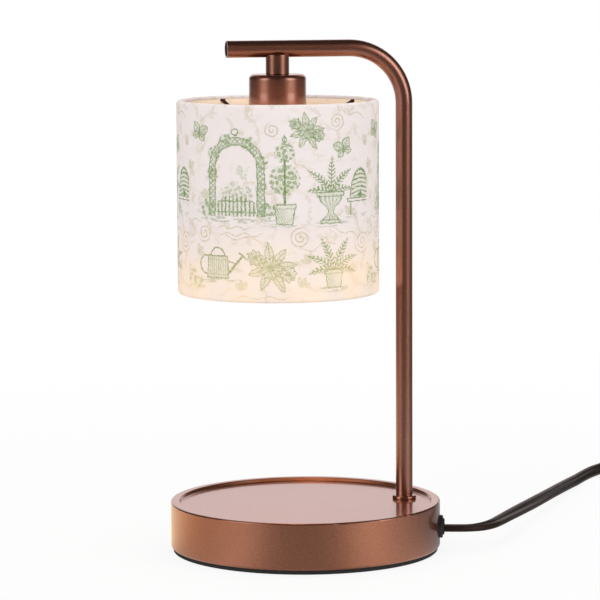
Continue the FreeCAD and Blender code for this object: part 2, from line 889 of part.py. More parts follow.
def shade_spider():
    """Welded wire frame: fitter plate, four sloping arms and the shade's top ring."""
    frame = Part.makeTorus(wire_inset, spider_wire, Vector(0, 0, top_wire_height))
    arm = swept(rounded_path(spider_arm_points(), [spider_bend]), spider_arm_wire)
    for angle in spider_angles():
        frame = frame.fuse(spun(arm, angle))
    frame = frame.fuse(ring(fitter_radius, sleeve_radius + fit, fitter_bottom, cap_bottom))
    frame.translate(Vector(lamp_x, 0, 0))
    return frame


def shade_bottom_wire():
    return Part.makeTorus(wire_inset, spider_wire, Vector(lamp_x, 0, bottom_wire_height))


# Wiring inside the lamp

def crimp_height():
    return plate_top + crimp_radius


def inner_leads():
    """Two insulated leads from the crimp caps up the tube and down the stem to the contacts."""
    low = plate_top + 2.0
    inside = crimp_mouth_x - crimp_entry
    leads = []
    for side in (-1, 1):
        at_cap = side * crimp_side + core_pitch / 2
        points = [
            (inside, at_cap, crimp_height()), (crimp_mouth_x + 10, side * 7.6, low),
            (post_x - 9.5, side * 4.2, low - 0.2), (post_x, side * lead_offset, low),
            (post_x, side * lead_offset, arm_axis), (lamp_x, side * lead_offset, arm_axis),
            (lamp_x, side * lead_offset, chamber_top)]
        radii = free_radii(points[:5])
        path = rounded_path(points, radii[:3] + [bend_radius, 4.0])
        leads.append(swept(path, lead_radius))
    return Part.makeCompound(leads)


def supply_leads():
    """The flat cord's end inside the bushing, split into two cores that run to the crimp caps."""
    face = base_radius + relief_head_thickness + relief_boss_height
    inner = base_radius - cover_sheet - relief_barrel_length - 2.0
    height = relief_height - cord_drop
    stub = flat_cord_stub(inner, face - inner)
    stub = placed(stub, Placement(UP * height, Rotation(UP, relief_angle)))
    cores = [stub]
    spread = cord_width / 4
    inside = crimp_mouth_x - crimp_entry
    for side, plan in zip((1, -1), core_plans):
        start = polar(inner, relief_angle) + polar(side * spread, relief_angle + 90)
        across = side * crimp_side - core_pitch / 2
        turns = [(start.x, start.y)] + plan + [(inside + core_lead_in, across - core_part)]
        fall = (height - crimp_height()) / (len(turns) - 1)
        points = [(x, y, height - i * fall) for i, (x, y) in enumerate(turns)]
        points.append((inside, across, crimp_height()))
        cores.append(swept(rounded_path(points, free_radii(points)), supply_radius))
    return Part.makeCompound(cores)


def crimp_caps():
    caps = []
    for side in (-1, 1):
        cap = turned([(0, 0, 0), (crimp_radius, 0, 1.0), (crimp_radius, crimp_length, 0.3),
                      (crimp_bore, crimp_length, 0), (crimp_bore, crimp_length - crimp_entry - 1, 0),
                      (0, crimp_length - crimp_entry - 1, 0)])
        cap.rotate(Vector(0, 0, 0), Vector(0, 1, 0), 90)
        cap.translate(Vector(crimp_mouth_x - crimp_length, side * crimp_side, crimp_height()))
        caps.append(cap)
    return Part.makeCompound(caps)


def strain_relief():
    """Snap-in bushing: head and boss outside the cover, split barrel inside, slot for the cord."""
    face = base_radius + relief_head_thickness
    inner = base_radius - cover_sheet - relief_barrel_length
    axis = Vector(1, 0, 0)
    profile = turned([
        (0, inner, 0), (relief_barrel - 0.8, inner, 0), (relief_barrel, inner + 3.0, 0),
        (relief_barrel, base_radius - 2.0, 0), (relief_head, base_radius - 2.0, 0),
        (relief_head, face, 0.7), (relief_boss, face, 0),
        (relief_boss, face + relief_boss_height, 0.4), (0, face + relief_boss_height, 0)])
    profile.rotate(Vector(0, 0, 0), Vector(0, 1, 0), 90)
    bushing = profile.cut(flat_cord_hole(inner - 1, face + relief_boss_height + 2 - inner).translated(
        Vector(0, 0, -cord_drop)))
    saw = block(inner - 1, base_radius - 3.0, -0.5, 0.5, cord_thickness / 2 - cord_drop, relief_barrel + 1)
    bushing = bushing.cut(saw)
    bushing = placed(bushing, relief_place())
    inside_head = ring(base_radius, base_radius - 2 * cover_sheet, 0, base_height)
    barrel = Part.makeCylinder(relief_barrel, base_radius, Vector(0, 0, 0), axis)
    inside_head = inside_head.cut(placed(barrel, relief_place()))
    return bushing.cut(inside_head)


# In-line dimmer, modelled along +X with its cord entry at x = 0 and its foot at z = 0

def case_corners():
    nose = case_nose / 2
    side = case_width / 2
    near = (case_length - 2 * case_shoulder) / 2
    half = case_length / 2
    return [(-half, -nose, 3.0), (-near - 5, -side, 9.0), (near + 5, -side, 9.0), (half, -nose, 3.0),
            (half, nose, 3.0), (near + 5, side, 9.0), (-near - 5, side, 9.0), (-half, nose, 3.0)]


def case_half(bottom, top, floor, edge_radius, at_bottom):
    """One moulded half of the case: outer form with its long edge rounded, hollowed from the split."""
    outer = extruded(case_corners(), bottom, top)
    face_height = bottom if at_bottom else top
    edges = [e for e in outer.Edges if abs(e.BoundBox.ZMin - face_height) < 1e-6
             and abs(e.BoundBox.ZMax - face_height) < 1e-6]
    outer = outer.makeFillet(edge_radius, edges)
    inner = beside(case_corners(), -case_wall, closed=True)
    low, high = (bottom + floor, top) if at_bottom else (bottom, top - floor)
    return outer.cut(extruded(inner, low, high))


def dimmer_posts(radius, bottom, top):
    return [disc(radius, bottom, top, u, v) for u in case_post_u for v in (-case_post_v, case_post_v)]


def cord_mouths():
    """The flat cord's holes at both ends of the dimmer, centred on the split."""
    holes = []
    for start in (-case_length / 2 - 1, case_length / 2 - 2 * case_wall - 1):
        holes.append(flat_cord_hole(start, 2 * case_wall + 2).translated(UP * case_split))
    return holes


def wheel_at():
    return Vector(wheel_u, 0, wheel_axis)


def axle_rod(radius, start, end):
    return Part.makeCylinder(radius, end - start, Vector(wheel_u, start, wheel_axis), Vector(0, 1, 0))


def bearing_rib(bottom, top):
    """Rib that holds the free end of the wheel's axle, half of it in each half of the case."""
    half = bearing_width / 2
    return block(wheel_u - half, wheel_u + half, -axle_left + 0.2, -axle_left + 0.2 + rib_thickness,
                 bottom, top)


def dimmer_case_bottom():
    half = case_half(0, case_split, case_floor, case_edge_radius, True)
    for post in dimmer_posts(case_post_radius, case_floor, case_split):
        half = half.fuse(post)
    for u in rib_u:
        half = half.fuse(block(u, u + rib_thickness, -7.0, 7.0, case_floor - 0.2, board_height))
    half = half.fuse(bearing_rib(case_floor - 0.2, wheel_axis))
    half = half.cut(axle_rod(axle_radius + fit, -axle_left - 1, 0))
    for hole in dimmer_posts(case_screw_radius + easy_fit, 0, case_split):
        half = half.cut(hole)
    for seat in dimmer_posts(case_screw_head + easy_fit, 0, screw_recess):
        half = half.cut(seat)
    for mouth in cord_mouths():
        half = half.cut(mouth)
    return half


def dimmer_case_top():
    half = case_half(case_split, case_height, case_floor, case_top_radius, False)
    inside_top = case_height - case_floor
    for post in dimmer_posts(case_post_radius, case_split, inside_top + 0.2):
        half = half.fuse(post)
    for hole in dimmer_posts(case_screw_radius + fit, case_split, screw_recess + case_screw_length):
        half = half.cut(hole)
    half = half.fuse(bearing_rib(wheel_axis, inside_top + 0.2))
    half = half.cut(axle_rod(axle_radius + fit, -axle_left - 1, 0))
    slot_long = math.sqrt(wheel_radius ** 2 - (inside_top - wheel_axis) ** 2) + 0.8
    slot_wide = wheel_thickness / 2 + 0.5
    corners = [(-slot_long, -slot_wide, 1.0), (slot_long, -slot_wide, 1.0),
               (slot_long, slot_wide, 1.0), (-slot_long, slot_wide, 1.0)]
    slot = extruded(corners, inside_top - 1, case_height + 1).translated(Vector(wheel_u, 0, 0))
    half = half.cut(slot)
    for mouth in cord_mouths():
        half = half.cut(mouth)
    return half


def dimmer_wheel():
    """Ribbed thumbwheel with dished sides, on its axle."""
    wide = wheel_thickness / 2
    wheel = turned([(0, -wide, 0), (wheel_radius, -wide, 0.8), (wheel_radius, wide, 0.8), (0, wide, 0)])
    groove = disc(wheel_groove_radius, -wide, wide, wheel_radius + 0.1)
    for k in range(wheel_grooves):
        wheel = wheel.cut(spun(groove, 360.0 * k / wheel_grooves))
    dish = turned([(axle_radius + 1.2, wide - 1.0, 0), (wheel_radius - 2.4, wide - 1.0, 0),
                   (wheel_radius - 2.0, wide, 0), (axle_radius + 1.2, wide, 0)])
    wheel = wheel.cut(dish).cut(dish.mirror(Vector(0, 0, 0), UP))
    wheel.rotate(Vector(0, 0, 0), Vector(1, 0, 0), -90)
    wheel.translate(wheel_at())
    return wheel.fuse(axle_rod(axle_radius, -axle_left, axle_right)).removeSplitter()


def dimmer_potentiometer():
    """Round potentiometer with a foot on the board; the wheel's axle turns in its bore."""
    start = wheel_thickness / 2 + 0.6
    body = axle_rod(pot_radius, start, start + pot_thickness)
    foot = block(wheel_u - 4.5, wheel_u + 4.5, start, start + pot_thickness,
                 board_height + board_thickness, wheel_axis)
    return body.fuse(foot).removeSplitter().cut(axle_rod(axle_radius + fit, start, start + pot_thickness))


def dimmer_board():
    board = extruded([
        (-board_length / 2, -board_width / 2, 1.0), (board_length / 2, -board_width / 2, 1.0),
        (board_length / 2, board_width / 2, 1.0), (-board_length / 2, board_width / 2, 1.0)],
        board_height, board_height + board_thickness)
    gap = wheel_radius - 0.5
    well = block(wheel_u - gap, wheel_u + gap, -board_width, wheel_thickness / 2 + 0.6,
                 board_height, board_height + board_thickness)
    return board.cut(well)


def dimmer_components():
    """Triac, film capacitor and choke on the board."""
    top = board_height + board_thickness
    triac = block(19.5, 20.8, -5.0, 5.0, top, top + 12.0)
    triac = triac.fuse(block(16.9, 19.5, -5.0, 5.0, top + 1.5, top + 9.5))
    capacitor = extruded([(-19.8, -6.0, 0.8), (-14.0, -6.0, 0.8), (-14.0, 6.0, 0.8), (-19.8, 6.0, 0.8)],
                         top, top + 10.5)
    choke = ring(3.4, 1.4, top, top + 7.0, -10.4, 0)
    return Part.makeCompound([triac, capacitor, choke])


def dimmer_screws():
    screw = pan_screw(case_screw_head, screw_recess - 0.3, case_screw_radius, case_screw_length)
    screws = []
    for u in case_post_u:
        for v in (-case_post_v, case_post_v):
            screws.append(screw.translated(Vector(u, v, screw_recess)))
    return Part.makeCompound(screws)


def dimmer_leads():
    """The two ends of the flat cord inside the case, in the mouths of its nose ends."""
    inner_end = board_length / 2 + 1.0
    pieces = []
    for turn in (0, 180):
        stub = flat_cord_stub(inner_end, case_length / 2 - inner_end).translated(UP * case_split)
        pieces.append(spun(stub, turn))
    return Part.makeCompound(pieces)


# Plug, modelled along +X from the cord's entry at x = 0, with its foot at z = 0

def plug_sections():
    """Half widths and half heights of the moulded plug along its length."""
    return [
        (0.0, plug_tail_width / 2, plug_tail_height / 2),
        (9.0, plug_tail_width / 2 + 0.6, plug_tail_height / 2 + 0.5),
        (17.0, plug_waist / 2, plug_height / 2 - 1.6),
        (25.0, plug_waist / 2 + 0.6, plug_height / 2 - 1.4),
        (plug_body_length - 3.0, plug_width / 2, plug_height / 2),
        (plug_body_length, plug_width / 2, plug_height / 2),
    ]


def plug_body():
    """Moulded plug: its plan and its side view cut from each other."""
    middle = plug_height / 2
    sections = plug_sections()
    plan = [(u, -wide, 3.0) for u, wide, tall in sections]
    plan += [(u, wide, 3.0) for u, wide, tall in sections[::-1]]
    plan[0] = (plan[0][0], plan[0][1], 0.8)
    plan[-1] = (plan[-1][0], plan[-1][1], 0.8)
    for i in (4, 5, 6, 7):
        plan[i] = (plan[i][0], plan[i][1], 1.2)
    side = [(u, middle - tall, 3.0) for u, wide, tall in sections]
    side += [(u, middle + tall, 3.0) for u, wide, tall in sections[::-1]]
    side[0] = (side[0][0], side[0][1], 0.8)
    side[-1] = (side[-1][0], side[-1][1], 0.8)
    for i in (4, 5, 6, 7):
        side[i] = (side[i][0], side[i][1], 1.2)
    flat = extruded(plan, 0, plug_height)
    upright = Part.Face(outline(side, upright=True)).extrude(Vector(0, plug_width, 0))
    upright.translate(Vector(0, -plug_width / 2, 0))
    body = flat.common(upright)
    for start in tail_grooves:
        end = start + tail_groove_width
        wide = plug_tail_width / 2 - tail_groove_depth
        tall = plug_tail_height / 2 - tail_groove_depth
        groove = block(start, end, -plug_width / 2, plug_width / 2, 0, plug_height)
        body = body.cut(groove.cut(block(start, end, -wide, wide, middle - tall, middle + tall)))
    for side_sign, width in ((-1, blade_width), (1, neutral_width)):
        body = body.cut(blade_block(side_sign, width, plug_body_length - blade_root, plug_body_length))
    return body


def blade_block(side, width, start, end):
    centre = side * blade_spacing / 2
    middle = plug_height / 2
    return block(start, end, centre - blade_thickness / 2, centre + blade_thickness / 2,
                 middle - width / 2, middle + width / 2)


def plug_blades():
    """Polarised pair: the neutral blade is the wider one."""
    blades = []
    end = plug_body_length + blade_length
    for side, width in ((-1, blade_width), (1, neutral_width)):
        blade = blade_block(side, width, plug_body_length - blade_root, end)
        centre = side * blade_spacing / 2
        hole = Part.makeCylinder(1.6, 2 * blade_thickness,
                                 Vector(end - 4.5, centre - blade_thickness, plug_height / 2),
                                 Vector(0, 1, 0))
        tips = [e for e in blade.Edges if e.BoundBox.XMin > end - 1e-6 and e.BoundBox.YLength > 1]
        blades.append(blade.makeChamfer(1.2, tips).cut(hole))
    return Part.makeCompound(blades)


# Free cord and what is on it

def heading(route, first, last):
    start, end = Vector(*route[first]), Vector(*route[last])
    return math.degrees(math.atan2(end.y - start.y, end.x - start.x))


def dimmer_place():
    entry = Vector(*lead_route[-1])
    angle = heading(lead_route, -2, -1)
    centre = Vector(entry.x, entry.y, 0) + polar(case_length / 2, angle)
    return Placement(centre, Rotation(UP, angle))


def plug_place():
    entry = Vector(*end_route[-1])
    return Placement(Vector(entry.x, entry.y, 0), Rotation(UP, 180.0))


def cord_coil():
    bottom, top = coil_bottom, coil_bottom + coil_height
    corners = [(coil_inner, bottom, coil_edge_radius), (coil_outer, bottom, coil_edge_radius),
               (coil_outer, top, coil_edge_radius), (coil_inner, top, coil_edge_radius)]
    return turned(corners, *coil_centre)


def cord_tie():
    """Flat strap round the bundle of turns, on the side away from the cord's ends."""
    gap = 0.1
    low, high = coil_bottom - gap, coil_bottom + coil_height + gap
    near, far = coil_inner - gap, coil_outer + gap
    corners = [(near, low, coil_edge_radius), (far, low, coil_edge_radius),
               (far, high, coil_edge_radius), (near, high, coil_edge_radius)]
    outer = beside(corners, tie_sheet, closed=True)
    band = Part.Face(outline(outer, upright=True)).extrude(Vector(0, tie_width, 0))
    hole = Part.Face(outline(corners, upright=True)).extrude(Vector(0, tie_width, 0))
    band = band.cut(hole)
    band.translate(Vector(0, -tie_width / 2, 0))
    band = spun(band, 180)
    band.translate(Vector(*coil_centre, 0))
    return band.cut(cord_coil())


def export(name, shape):
    solids = shape.Solids
    if not shape.isValid() or not solids or any(s.Volume <= 0 for s in solids):
        print("FAULT in", name, shape.isValid(), [s.Volume for s in solids])
    shape.exportStep("parts/" + name + ".step")
    print(name, len(solids), "solids", round(sum(s.Volume for s in solids), 1))


def main():
    os.makedirs("parts", exist_ok=True)
    for build in (
        base_cover, base_weight, base_plate, base_screws, foot_pad,
        arm_tube, arm_end_plug, post_collar, post_lock_washer, post_nut,
        holder_stem, threaded_nipple, holder_cap, cap_nut, holder_bracket, holder_screws,
        holder_body, holder_contacts, holder_sleeve, shade_ring_nut,
        bulb_base, bulb_pins, bulb_reflector, bulb_lens, bulb_capsule,
        shade_fabric, shade_spider, shade_bottom_wire,
        inner_leads, supply_leads, crimp_caps, strain_relief,
        cord_coil, cord_tie,
    ):
        export(build.__name__, build())
    for build in (dimmer_case_bottom, dimmer_case_top, dimmer_wheel, dimmer_potentiometer,
                  dimmer_board, dimmer_components, dimmer_screws, dimmer_leads):
        export(build.__name__, placed(build(), dimmer_place()))
    for build in (plug_body, plug_blades):
        export(build.__name__, placed(build(), plug_place()))
    export("cord_lead", cord_tube("cord_lead", lead_route))
    export("cord_tail", cord_tube("cord_tail", tail_route))
    export("cord_end", cord_tube("cord_end", end_route))


main()
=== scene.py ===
import json
import math

import bmesh
import bpy
from mathutils import Matrix, Vector

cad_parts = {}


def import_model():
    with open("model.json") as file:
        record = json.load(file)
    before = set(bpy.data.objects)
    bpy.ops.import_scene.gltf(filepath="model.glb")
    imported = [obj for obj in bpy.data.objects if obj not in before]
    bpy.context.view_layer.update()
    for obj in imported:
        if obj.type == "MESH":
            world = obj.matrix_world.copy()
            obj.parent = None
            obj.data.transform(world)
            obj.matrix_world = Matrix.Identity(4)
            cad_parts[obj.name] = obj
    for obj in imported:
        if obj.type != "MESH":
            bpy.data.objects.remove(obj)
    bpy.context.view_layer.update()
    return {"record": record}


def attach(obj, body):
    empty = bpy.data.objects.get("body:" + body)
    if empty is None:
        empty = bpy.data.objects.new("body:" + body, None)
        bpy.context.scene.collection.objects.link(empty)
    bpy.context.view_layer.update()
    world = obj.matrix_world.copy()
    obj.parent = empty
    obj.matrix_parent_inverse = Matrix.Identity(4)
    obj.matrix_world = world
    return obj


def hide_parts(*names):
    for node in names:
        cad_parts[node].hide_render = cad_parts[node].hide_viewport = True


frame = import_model()

MM = 0.001

# Lamp head and shade, as in the CAD
LAMP_X = -15.6 * MM
SHADE_RADIUS = 59.3 * MM
SHADE_TOP = 267.5 * MM
SHADE_BOTTOM = 154.2 * MM
SPIDER_ANGLES = (25.0, 115.0, 205.0, 295.0)
BULB_FRONT = 209.7 * MM

# Shade cloth
CLOTH = 0.8 * MM  # with its lining
HEM_WIDTH = 4.2 * MM
HEM_DEPTH = 5.0 * MM
HEM_RADIUS = 2.0 * MM
HEM_STEPS = 6  # in a quarter of the hem's round
WALL_STEPS = 14  # from hem to hem
CLOTH_COLUMNS = 240
SEAM_ANGLE = 90.0  # start of the glued overlap at the back, in degrees
SEAM_TURN = 7.0  # degrees over which the overlap thins out
SEAM_LIFT = 0.45 * MM
SLACK = 0.12 * MM
NOTCH_HALF = 2.2  # half width of the hem's notch at a spider arm, in degrees
NOTCH_FACES = 3  # faces of the section that a notch takes, from the top hem's free edge
LINED_FACES = 2  # faces of the section that form the top hem's inner wall
PRINT_FRONT = -105.6  # mm along the cloth to the middle of one repeat of the print
PRINT_REPEATS = 3

# Camera, with lengths in the picture's pixels and angles in radians
PICTURE = 600
FOCAL = 3158.1
SHIFT_X = -4.574
SHIFT_Y = -1.732
CAMERA_AZIMUTH = -0.2097
CAMERA_ELEVATION = 0.1158
CAMERA_ROLL = -0.0043
CAMERA_DISTANCE = 1.865
SENSOR = 36.0
MIDDLE = (0.0, 0.0, 0.150)  # of the lamp; the camera and the lights face it

FLOOR_SIZE = 16.0
FLOOR_HEIGHT = -0.3 * MM

# The free cord's route, the same points as the CAD solids have
LEAD_ROUTE = [
    (.0791, -.0242, .0133), (.0867, -.0265, .0133), (.0952, -.0263, .0130),
    (.1032, -.0234, .0130), (.1104, -.0177, .0132), (.1170, -.0080, .0130),
    (.1278, .0098, .0124), (.1414, .0334, .0111), (.1565, .0592, .0097), (.1743, .0911, .0078),
    (.1928, .1244, .0059), (.2110, .1557, .0042), (.2282, .1825, .0032), (.2394, .1986, .0029),
    (.2526, .2133, .0036), (.2662, .2233, .0060), (.2800, .2289, .0080), (.2930, .2312, .0080),
]
TAIL_ROUTE = [
    (.36195, .24340, .0080), (.37475, .24566, .0080), (.3875, .2433, .0069),
    (.3988, .2368, .0053), (.4071, .2268, .0040), (.4110, .2143, .0032), (.4112, .1953, .0029),
    (.4096, .1770, .0029),
]
END_ROUTE = [
    (.3528, .1174, .0108), (.3388, .1148, .0093), (.3268, .1135, .0075), (.3148, .1135, .0075),
]
CORD_WIDTH = 7.5 * MM
CORD_THICKNESS = 3.9 * MM
CORD_GROOVE = 0.85 * MM
LEAD_ROLL = 80.0  # degrees that the lead turns on edge
ROLL_START, ROLL_RUN = .0952, .085  # along x
FLAT_AGAIN, UNROLL_RUN = .290, .060
COIL_CENTRE = (.3683, .1575)
COIL_STEPS = 16  # points in a turn
# Turns wound so far, radius and height of the coil's line
COIL_PLAN = [
    (0.08, 43.8, 2.95), (0.90, 43.8, 2.95), (1.10, 36.1, 2.95), (1.90, 36.1, 2.95),
    (2.10, 36.1, 6.95), (2.90, 36.1, 6.95), (3.10, 43.8, 6.95), (3.92, 43.8, 6.95),
    (4.06, 39.5, 10.95), (4.20, 36.4, 10.95), (4.62, 36.4, 10.95), (4.95, 43.4, 10.95),
    (5.34, 43.4, 10.95),
]


# Node trees

class Wire:
    """A value in a node tree, with the arithmetic that builds on it."""

    def __init__(self, tree, socket):
        self.tree = tree
        self.socket = socket

    def _do(self, operation, *others):
        node = self.tree.nodes.new("ShaderNodeMath")
        node.operation = operation
        feed(self.tree, node.inputs[0], self)
        for i, other in enumerate(others):
            feed(self.tree, node.inputs[i + 1], other)
        return Wire(self.tree, node.outputs[0])

    def __add__(self, other):
        return self._do("ADD", other)

    def __sub__(self, other):
        return self._do("SUBTRACT", other)

    def __mul__(self, other):
        return self._do("MULTIPLY", other)

    def __truediv__(self, other):
        return self._do("DIVIDE", other)

    def __neg__(self):
        return self._do("MULTIPLY", -1.0)

    def __abs__(self):
        return self._do("ABSOLUTE")

    def line(self, slope, rise):
        """This value times the slope, plus the rise."""
        return self._do("MULTIPLY_ADD", slope, rise)

    def root(self):
        return self._do("SQRT")

    def sin(self):
        return self._do("SINE")

    def cos(self):
        return self._do("COSINE")

    def fract(self):
        return self._do("FRACT")

    def max(self, other):
        return self._do("MAXIMUM", other)

    def min(self, other):
        return self._do("MINIMUM", other)

    def wrap(self, low, high):
        return self._do("WRAP", high, low)

    def angle(self, across):
        """The angle of the point whose x is across and whose y is this value."""
        return self._do("ARCTAN2", across)

    def ramp(self, low, high, start=0.0, end=1.0):
        """Smooth step from start to end while this value goes from low to high."""
        node = self.tree.nodes.new("ShaderNodeMapRange")
        node.interpolation_type = "SMOOTHSTEP"
        node.clamp = False  # a smooth step stays in its range anyway
        feed(self.tree, node.inputs["Value"], self)
        for name, value in (("From Min", low), ("From Max", high), ("To Min", start), ("To Max", end)):
            feed(self.tree, node.inputs[name], value)
        return Wire(self.tree, node.outputs["Result"])


def feed(tree, socket, value):
    """Joins a value, wire or socket to an input; None leaves the input as it is."""
    if isinstance(value, Wire):
        tree.links.new(value.socket, socket)
    elif isinstance(value, bpy.types.NodeSocket):
        tree.links.new(value, socket)
    elif value is not None:
        socket.default_value = value


class Nodes:
    """Texture nodes of one tree; vector is the place that they are drawn on."""

    def __init__(self, tree, vector=None):
        self.tree = tree
        self.vector = vector

    def node(self, kind, **settings):
        made = self.tree.nodes.new(kind)
        for key, value in settings.items():
            setattr(made, key, value)
        return made

    def place(self):
        return self.vector

    def axes(self, vector=None):
        """The three parts of a vector, which is the place unless another is given."""
        split = self.node("ShaderNodeSeparateXYZ")
        feed(self.tree, split.inputs[0], vector or self.place())
        return [Wire(self.tree, out) for out in split.outputs]

    def noise(self, size, detail=3.0, rough=0.5, stretch=None):
        """Noise from 0 to 1 whose blobs are about size millimetres across."""
        node = self.node("ShaderNodeTexNoise")
        node.inputs["Scale"].default_value = 1.0 / size
        node.inputs["Detail"].default_value = detail
        node.inputs["Roughness"].default_value = rough
        feed(self.tree, node.inputs["Vector"], self.stretched(stretch))
        return Wire(self.tree, node.outputs[0])

    def cells(self, size, randomness=1.0):
        """Distance to the middle of the nearest cell; the cells are about size millimetres across."""
        node = self.node("ShaderNodeTexVoronoi")
        node.inputs["Scale"].default_value = 1.0 / size
        node.inputs["Randomness"].default_value = randomness
        feed(self.tree, node.inputs["Vector"], self.place())
        return Wire(self.tree, node.outputs["Distance"])

    def joined(self, x, y):
        """A vector of two values and zero."""
        node = self.node("ShaderNodeCombineXYZ")
        feed(self.tree, node.inputs[0], x)
        feed(self.tree, node.inputs[1], y)
        return node.outputs[0]

    def stretched(self, stretch):
        """The place with its axes scaled."""
        if stretch is None:
            return self.place()
        scale = self.node("ShaderNodeVectorMath", operation="MULTIPLY")
        feed(self.tree, scale.inputs[0], self.place())
        scale.inputs[1].default_value = stretch
        return scale.outputs["Vector"]

    def mix(self, share, first, second):
        """Colour mix; first and second are colours, wires or sockets."""
        node = self.node("ShaderNodeMix", data_type="RGBA")
        feed(self.tree, node.inputs["Factor"], share)
        for socket, value in ((node.inputs[6], first), (node.inputs[7], second)):
            feed(self.tree, socket, (*value, 1.0) if isinstance(value, tuple) else value)
        return node.outputs[2]


class Look(Nodes):
    """A material under construction: one Principled shader and what feeds it."""

    def __init__(self, name, color, **sockets):
        self.material = bpy.data.materials.new(name)
        self.material.use_nodes = True
        super().__init__(self.material.node_tree)
        self.shader = self.tree.nodes["Principled BSDF"]
        self.set("Base Color", (*color, 1.0))
        for socket, value in sockets.items():
            self.set(socket.replace("_", " "), value)
        self.normal = None

    def set(self, socket, value):
        feed(self.tree, self.shader.inputs[socket], value)

    def place(self):
        """Object coordinates in millimetres, as a vector socket."""
        if self.vector is None:
            coordinates = self.node("ShaderNodeTexCoord")
            scale = self.node("ShaderNodeVectorMath", operation="SCALE")
            feed(self.tree, scale.inputs[0], coordinates.outputs["Object"])
            scale.inputs["Scale"].default_value = 1 / MM
            self.vector = scale.outputs["Vector"]
        return self.vector

    def bump(self, height, depth):
        """Raises the surface by depth millimetres where height is 1."""
        node = self.node("ShaderNodeBump")
        node.inputs["Distance"].default_value = depth * MM
        node.inputs["Strength"].default_value = 1.0
        feed(self.tree, node.inputs["Height"], height)
        feed(self.tree, node.inputs["Normal"], self.normal)
        self.normal = node.outputs["Normal"]
        self.set("Normal", self.normal)


# Finishes

def bronze(name, color, dark, rough, coat_rough, coat_ior):
    """Sprayed metallic coat: fine flake, slight orange peel and soft clouding."""
    look = Look(name, color, Metallic=1.0, Coat_Weight=1.0, Coat_Roughness=coat_rough,
                Coat_IOR=coat_ior)
    flake = look.noise(0.42, detail=2.0)
    cloud = look.noise(22.0, detail=2.0)
    shade = flake.ramp(0.32, 0.68, 0.0, 0.75) + cloud * 0.25
    look.set("Base Color", look.mix(shade, dark, color))
    look.set("Roughness", flake.ramp(0.2, 0.8, rough + 0.06, rough - 0.05) + cloud * 0.06)
    look.bump(flake, 0.02)
    return look.material


def metal(name, color, rough):
    """Plated or brushed metal with fine grain and a few duller patches."""
    look = Look(name, color, Metallic=1.0)
    grain = look.noise(0.6, detail=2.0)
    patch = look.noise(6.0)
    look.set("Base Color", look.mix(patch, tuple(0.82 * c for c in color), color))
    look.set("Roughness", grain * 0.12 + patch * 0.1 + (rough - 0.1))
    look.bump(grain, 0.006)
    return look.material


def plastic(name, color, rough, grain=0.4, depth=0.01, light=None, shine=0.5, tint=(1.0, 1.0, 1.0)):
    """Moulded plastic or rubber: faint mould grain, slightly uneven sheen."""
    look = Look(name, color, Specular_IOR_Level=shine, Specular_Tint=(*tint, 1.0))
    fine = look.noise(grain, detail=2.0)
    broad = look.noise(9.0)
    lighter = light or tuple(min(1.0, 1.25 * c + 0.004) for c in color)
    look.set("Base Color", look.mix(broad, color, lighter))
    look.set("Roughness", broad * 0.12 + (rough - 0.06))
    look.bump(fine, depth)
    return look.material


def cast_iron():
    """Raw casting with the texture of its sand mould."""
    look = Look("cast_iron", (0.12, 0.12, 0.13), Metallic=0.6)
    sand = look.noise(0.9, detail=5.0, rough=0.65)
    look.set("Base Color", look.mix(sand, (0.07, 0.07, 0.075), (0.18, 0.175, 0.17)))
    look.set("Roughness", sand * 0.25 + 0.5)
    look.bump(sand, 0.15)
    return look.material


def ceramic():
    """Off-white glaze with fine specks."""
    look = Look("ceramic", (0.88, 0.86, 0.80), Specular_IOR_Level=0.5)
    speck = look.cells(1.6)
    look.set("Base Color", look.mix(speck.ramp(0.05, 0.2), (0.74, 0.70, 0.62), (0.89, 0.87, 0.82)))
    look.set("Roughness", look.noise(3.0) * 0.15 + 0.28)
    look.bump(look.noise(1.2), 0.02)
    return look.material


def glass():
    """Clear glass, slightly wavy."""
    look = Look("clear_glass", (1.0, 1.0, 1.0), Transmission_Weight=1.0, IOR=1.47)
    look.set("Roughness", look.noise(4.0) * 0.04 + 0.02)
    look.bump(look.noise(7.0, detail=1.0), 0.02)
    return look.material


def reflector():
    """Aluminised glass with the small facets of a reflector lamp."""
    look = Look("reflector", (0.86, 0.85, 0.82), Metallic=1.0)
    facet = look.cells(3.2, randomness=0.35)
    look.set("Base Color", look.mix(facet, (0.88, 0.87, 0.85), (0.74, 0.73, 0.72)))
    look.set("Roughness", look.noise(3.0) * 0.06 + 0.1)
    look.bump(facet, 0.12)
    return look.material


def foam():
    """Matt black foam with open pores."""
    look = Look("foot_foam", (0.018, 0.018, 0.018))
    pores = look.cells(0.8)
    look.set("Base Color", look.mix(pores, (0.010, 0.010, 0.010), (0.032, 0.031, 0.030)))
    look.set("Roughness", pores * 0.2 + 0.75)
    look.bump(pores, 0.08)
    return look.material


def lining():
    """Laminate behind the shade's cloth, white tinted peach by painted lamplight; the print's painted
    shadow shows through as blotches.
    """
    # White tinted peach as painted lamplight; shadow below is the print's painted shade seen through
    # the cloth
    white = (0.90, 0.76, 0.62)
    look = Look("shade_lining", white, Specular_IOR_Level=0.35)
    shadow = look.noise(5.0, detail=3.0).ramp(0.52, 0.64)
    look.set("Base Color", look.mix(shadow * 0.5, white, (0.62, 0.52, 0.34)))
    # Painted lamplight: the upper part glows by emission, standing in for the bulb's light on it
    look.set("Emission Color", (1.0, 0.78, 0.56, 1.0))
    look.set("Emission Strength", look.axes()[2].ramp(225.0, 262.0, 0.0, 0.34))
    look.set("Roughness", look.noise(8.0) * 0.1 + 0.42)
    look.bump(look.noise(1.5), 0.03)
    return look.material


# Printed cloth

def within(value, limit, soft=0.25):
    """1 where the value is under the limit, 0 past it."""
    return value.ramp(limit - soft, limit + soft, 1.0, 0.0)


def stroke(distance, half=0.35, soft=0.2):
    """1 on a line that runs where the distance is zero."""
    return within(abs(distance), half, soft)


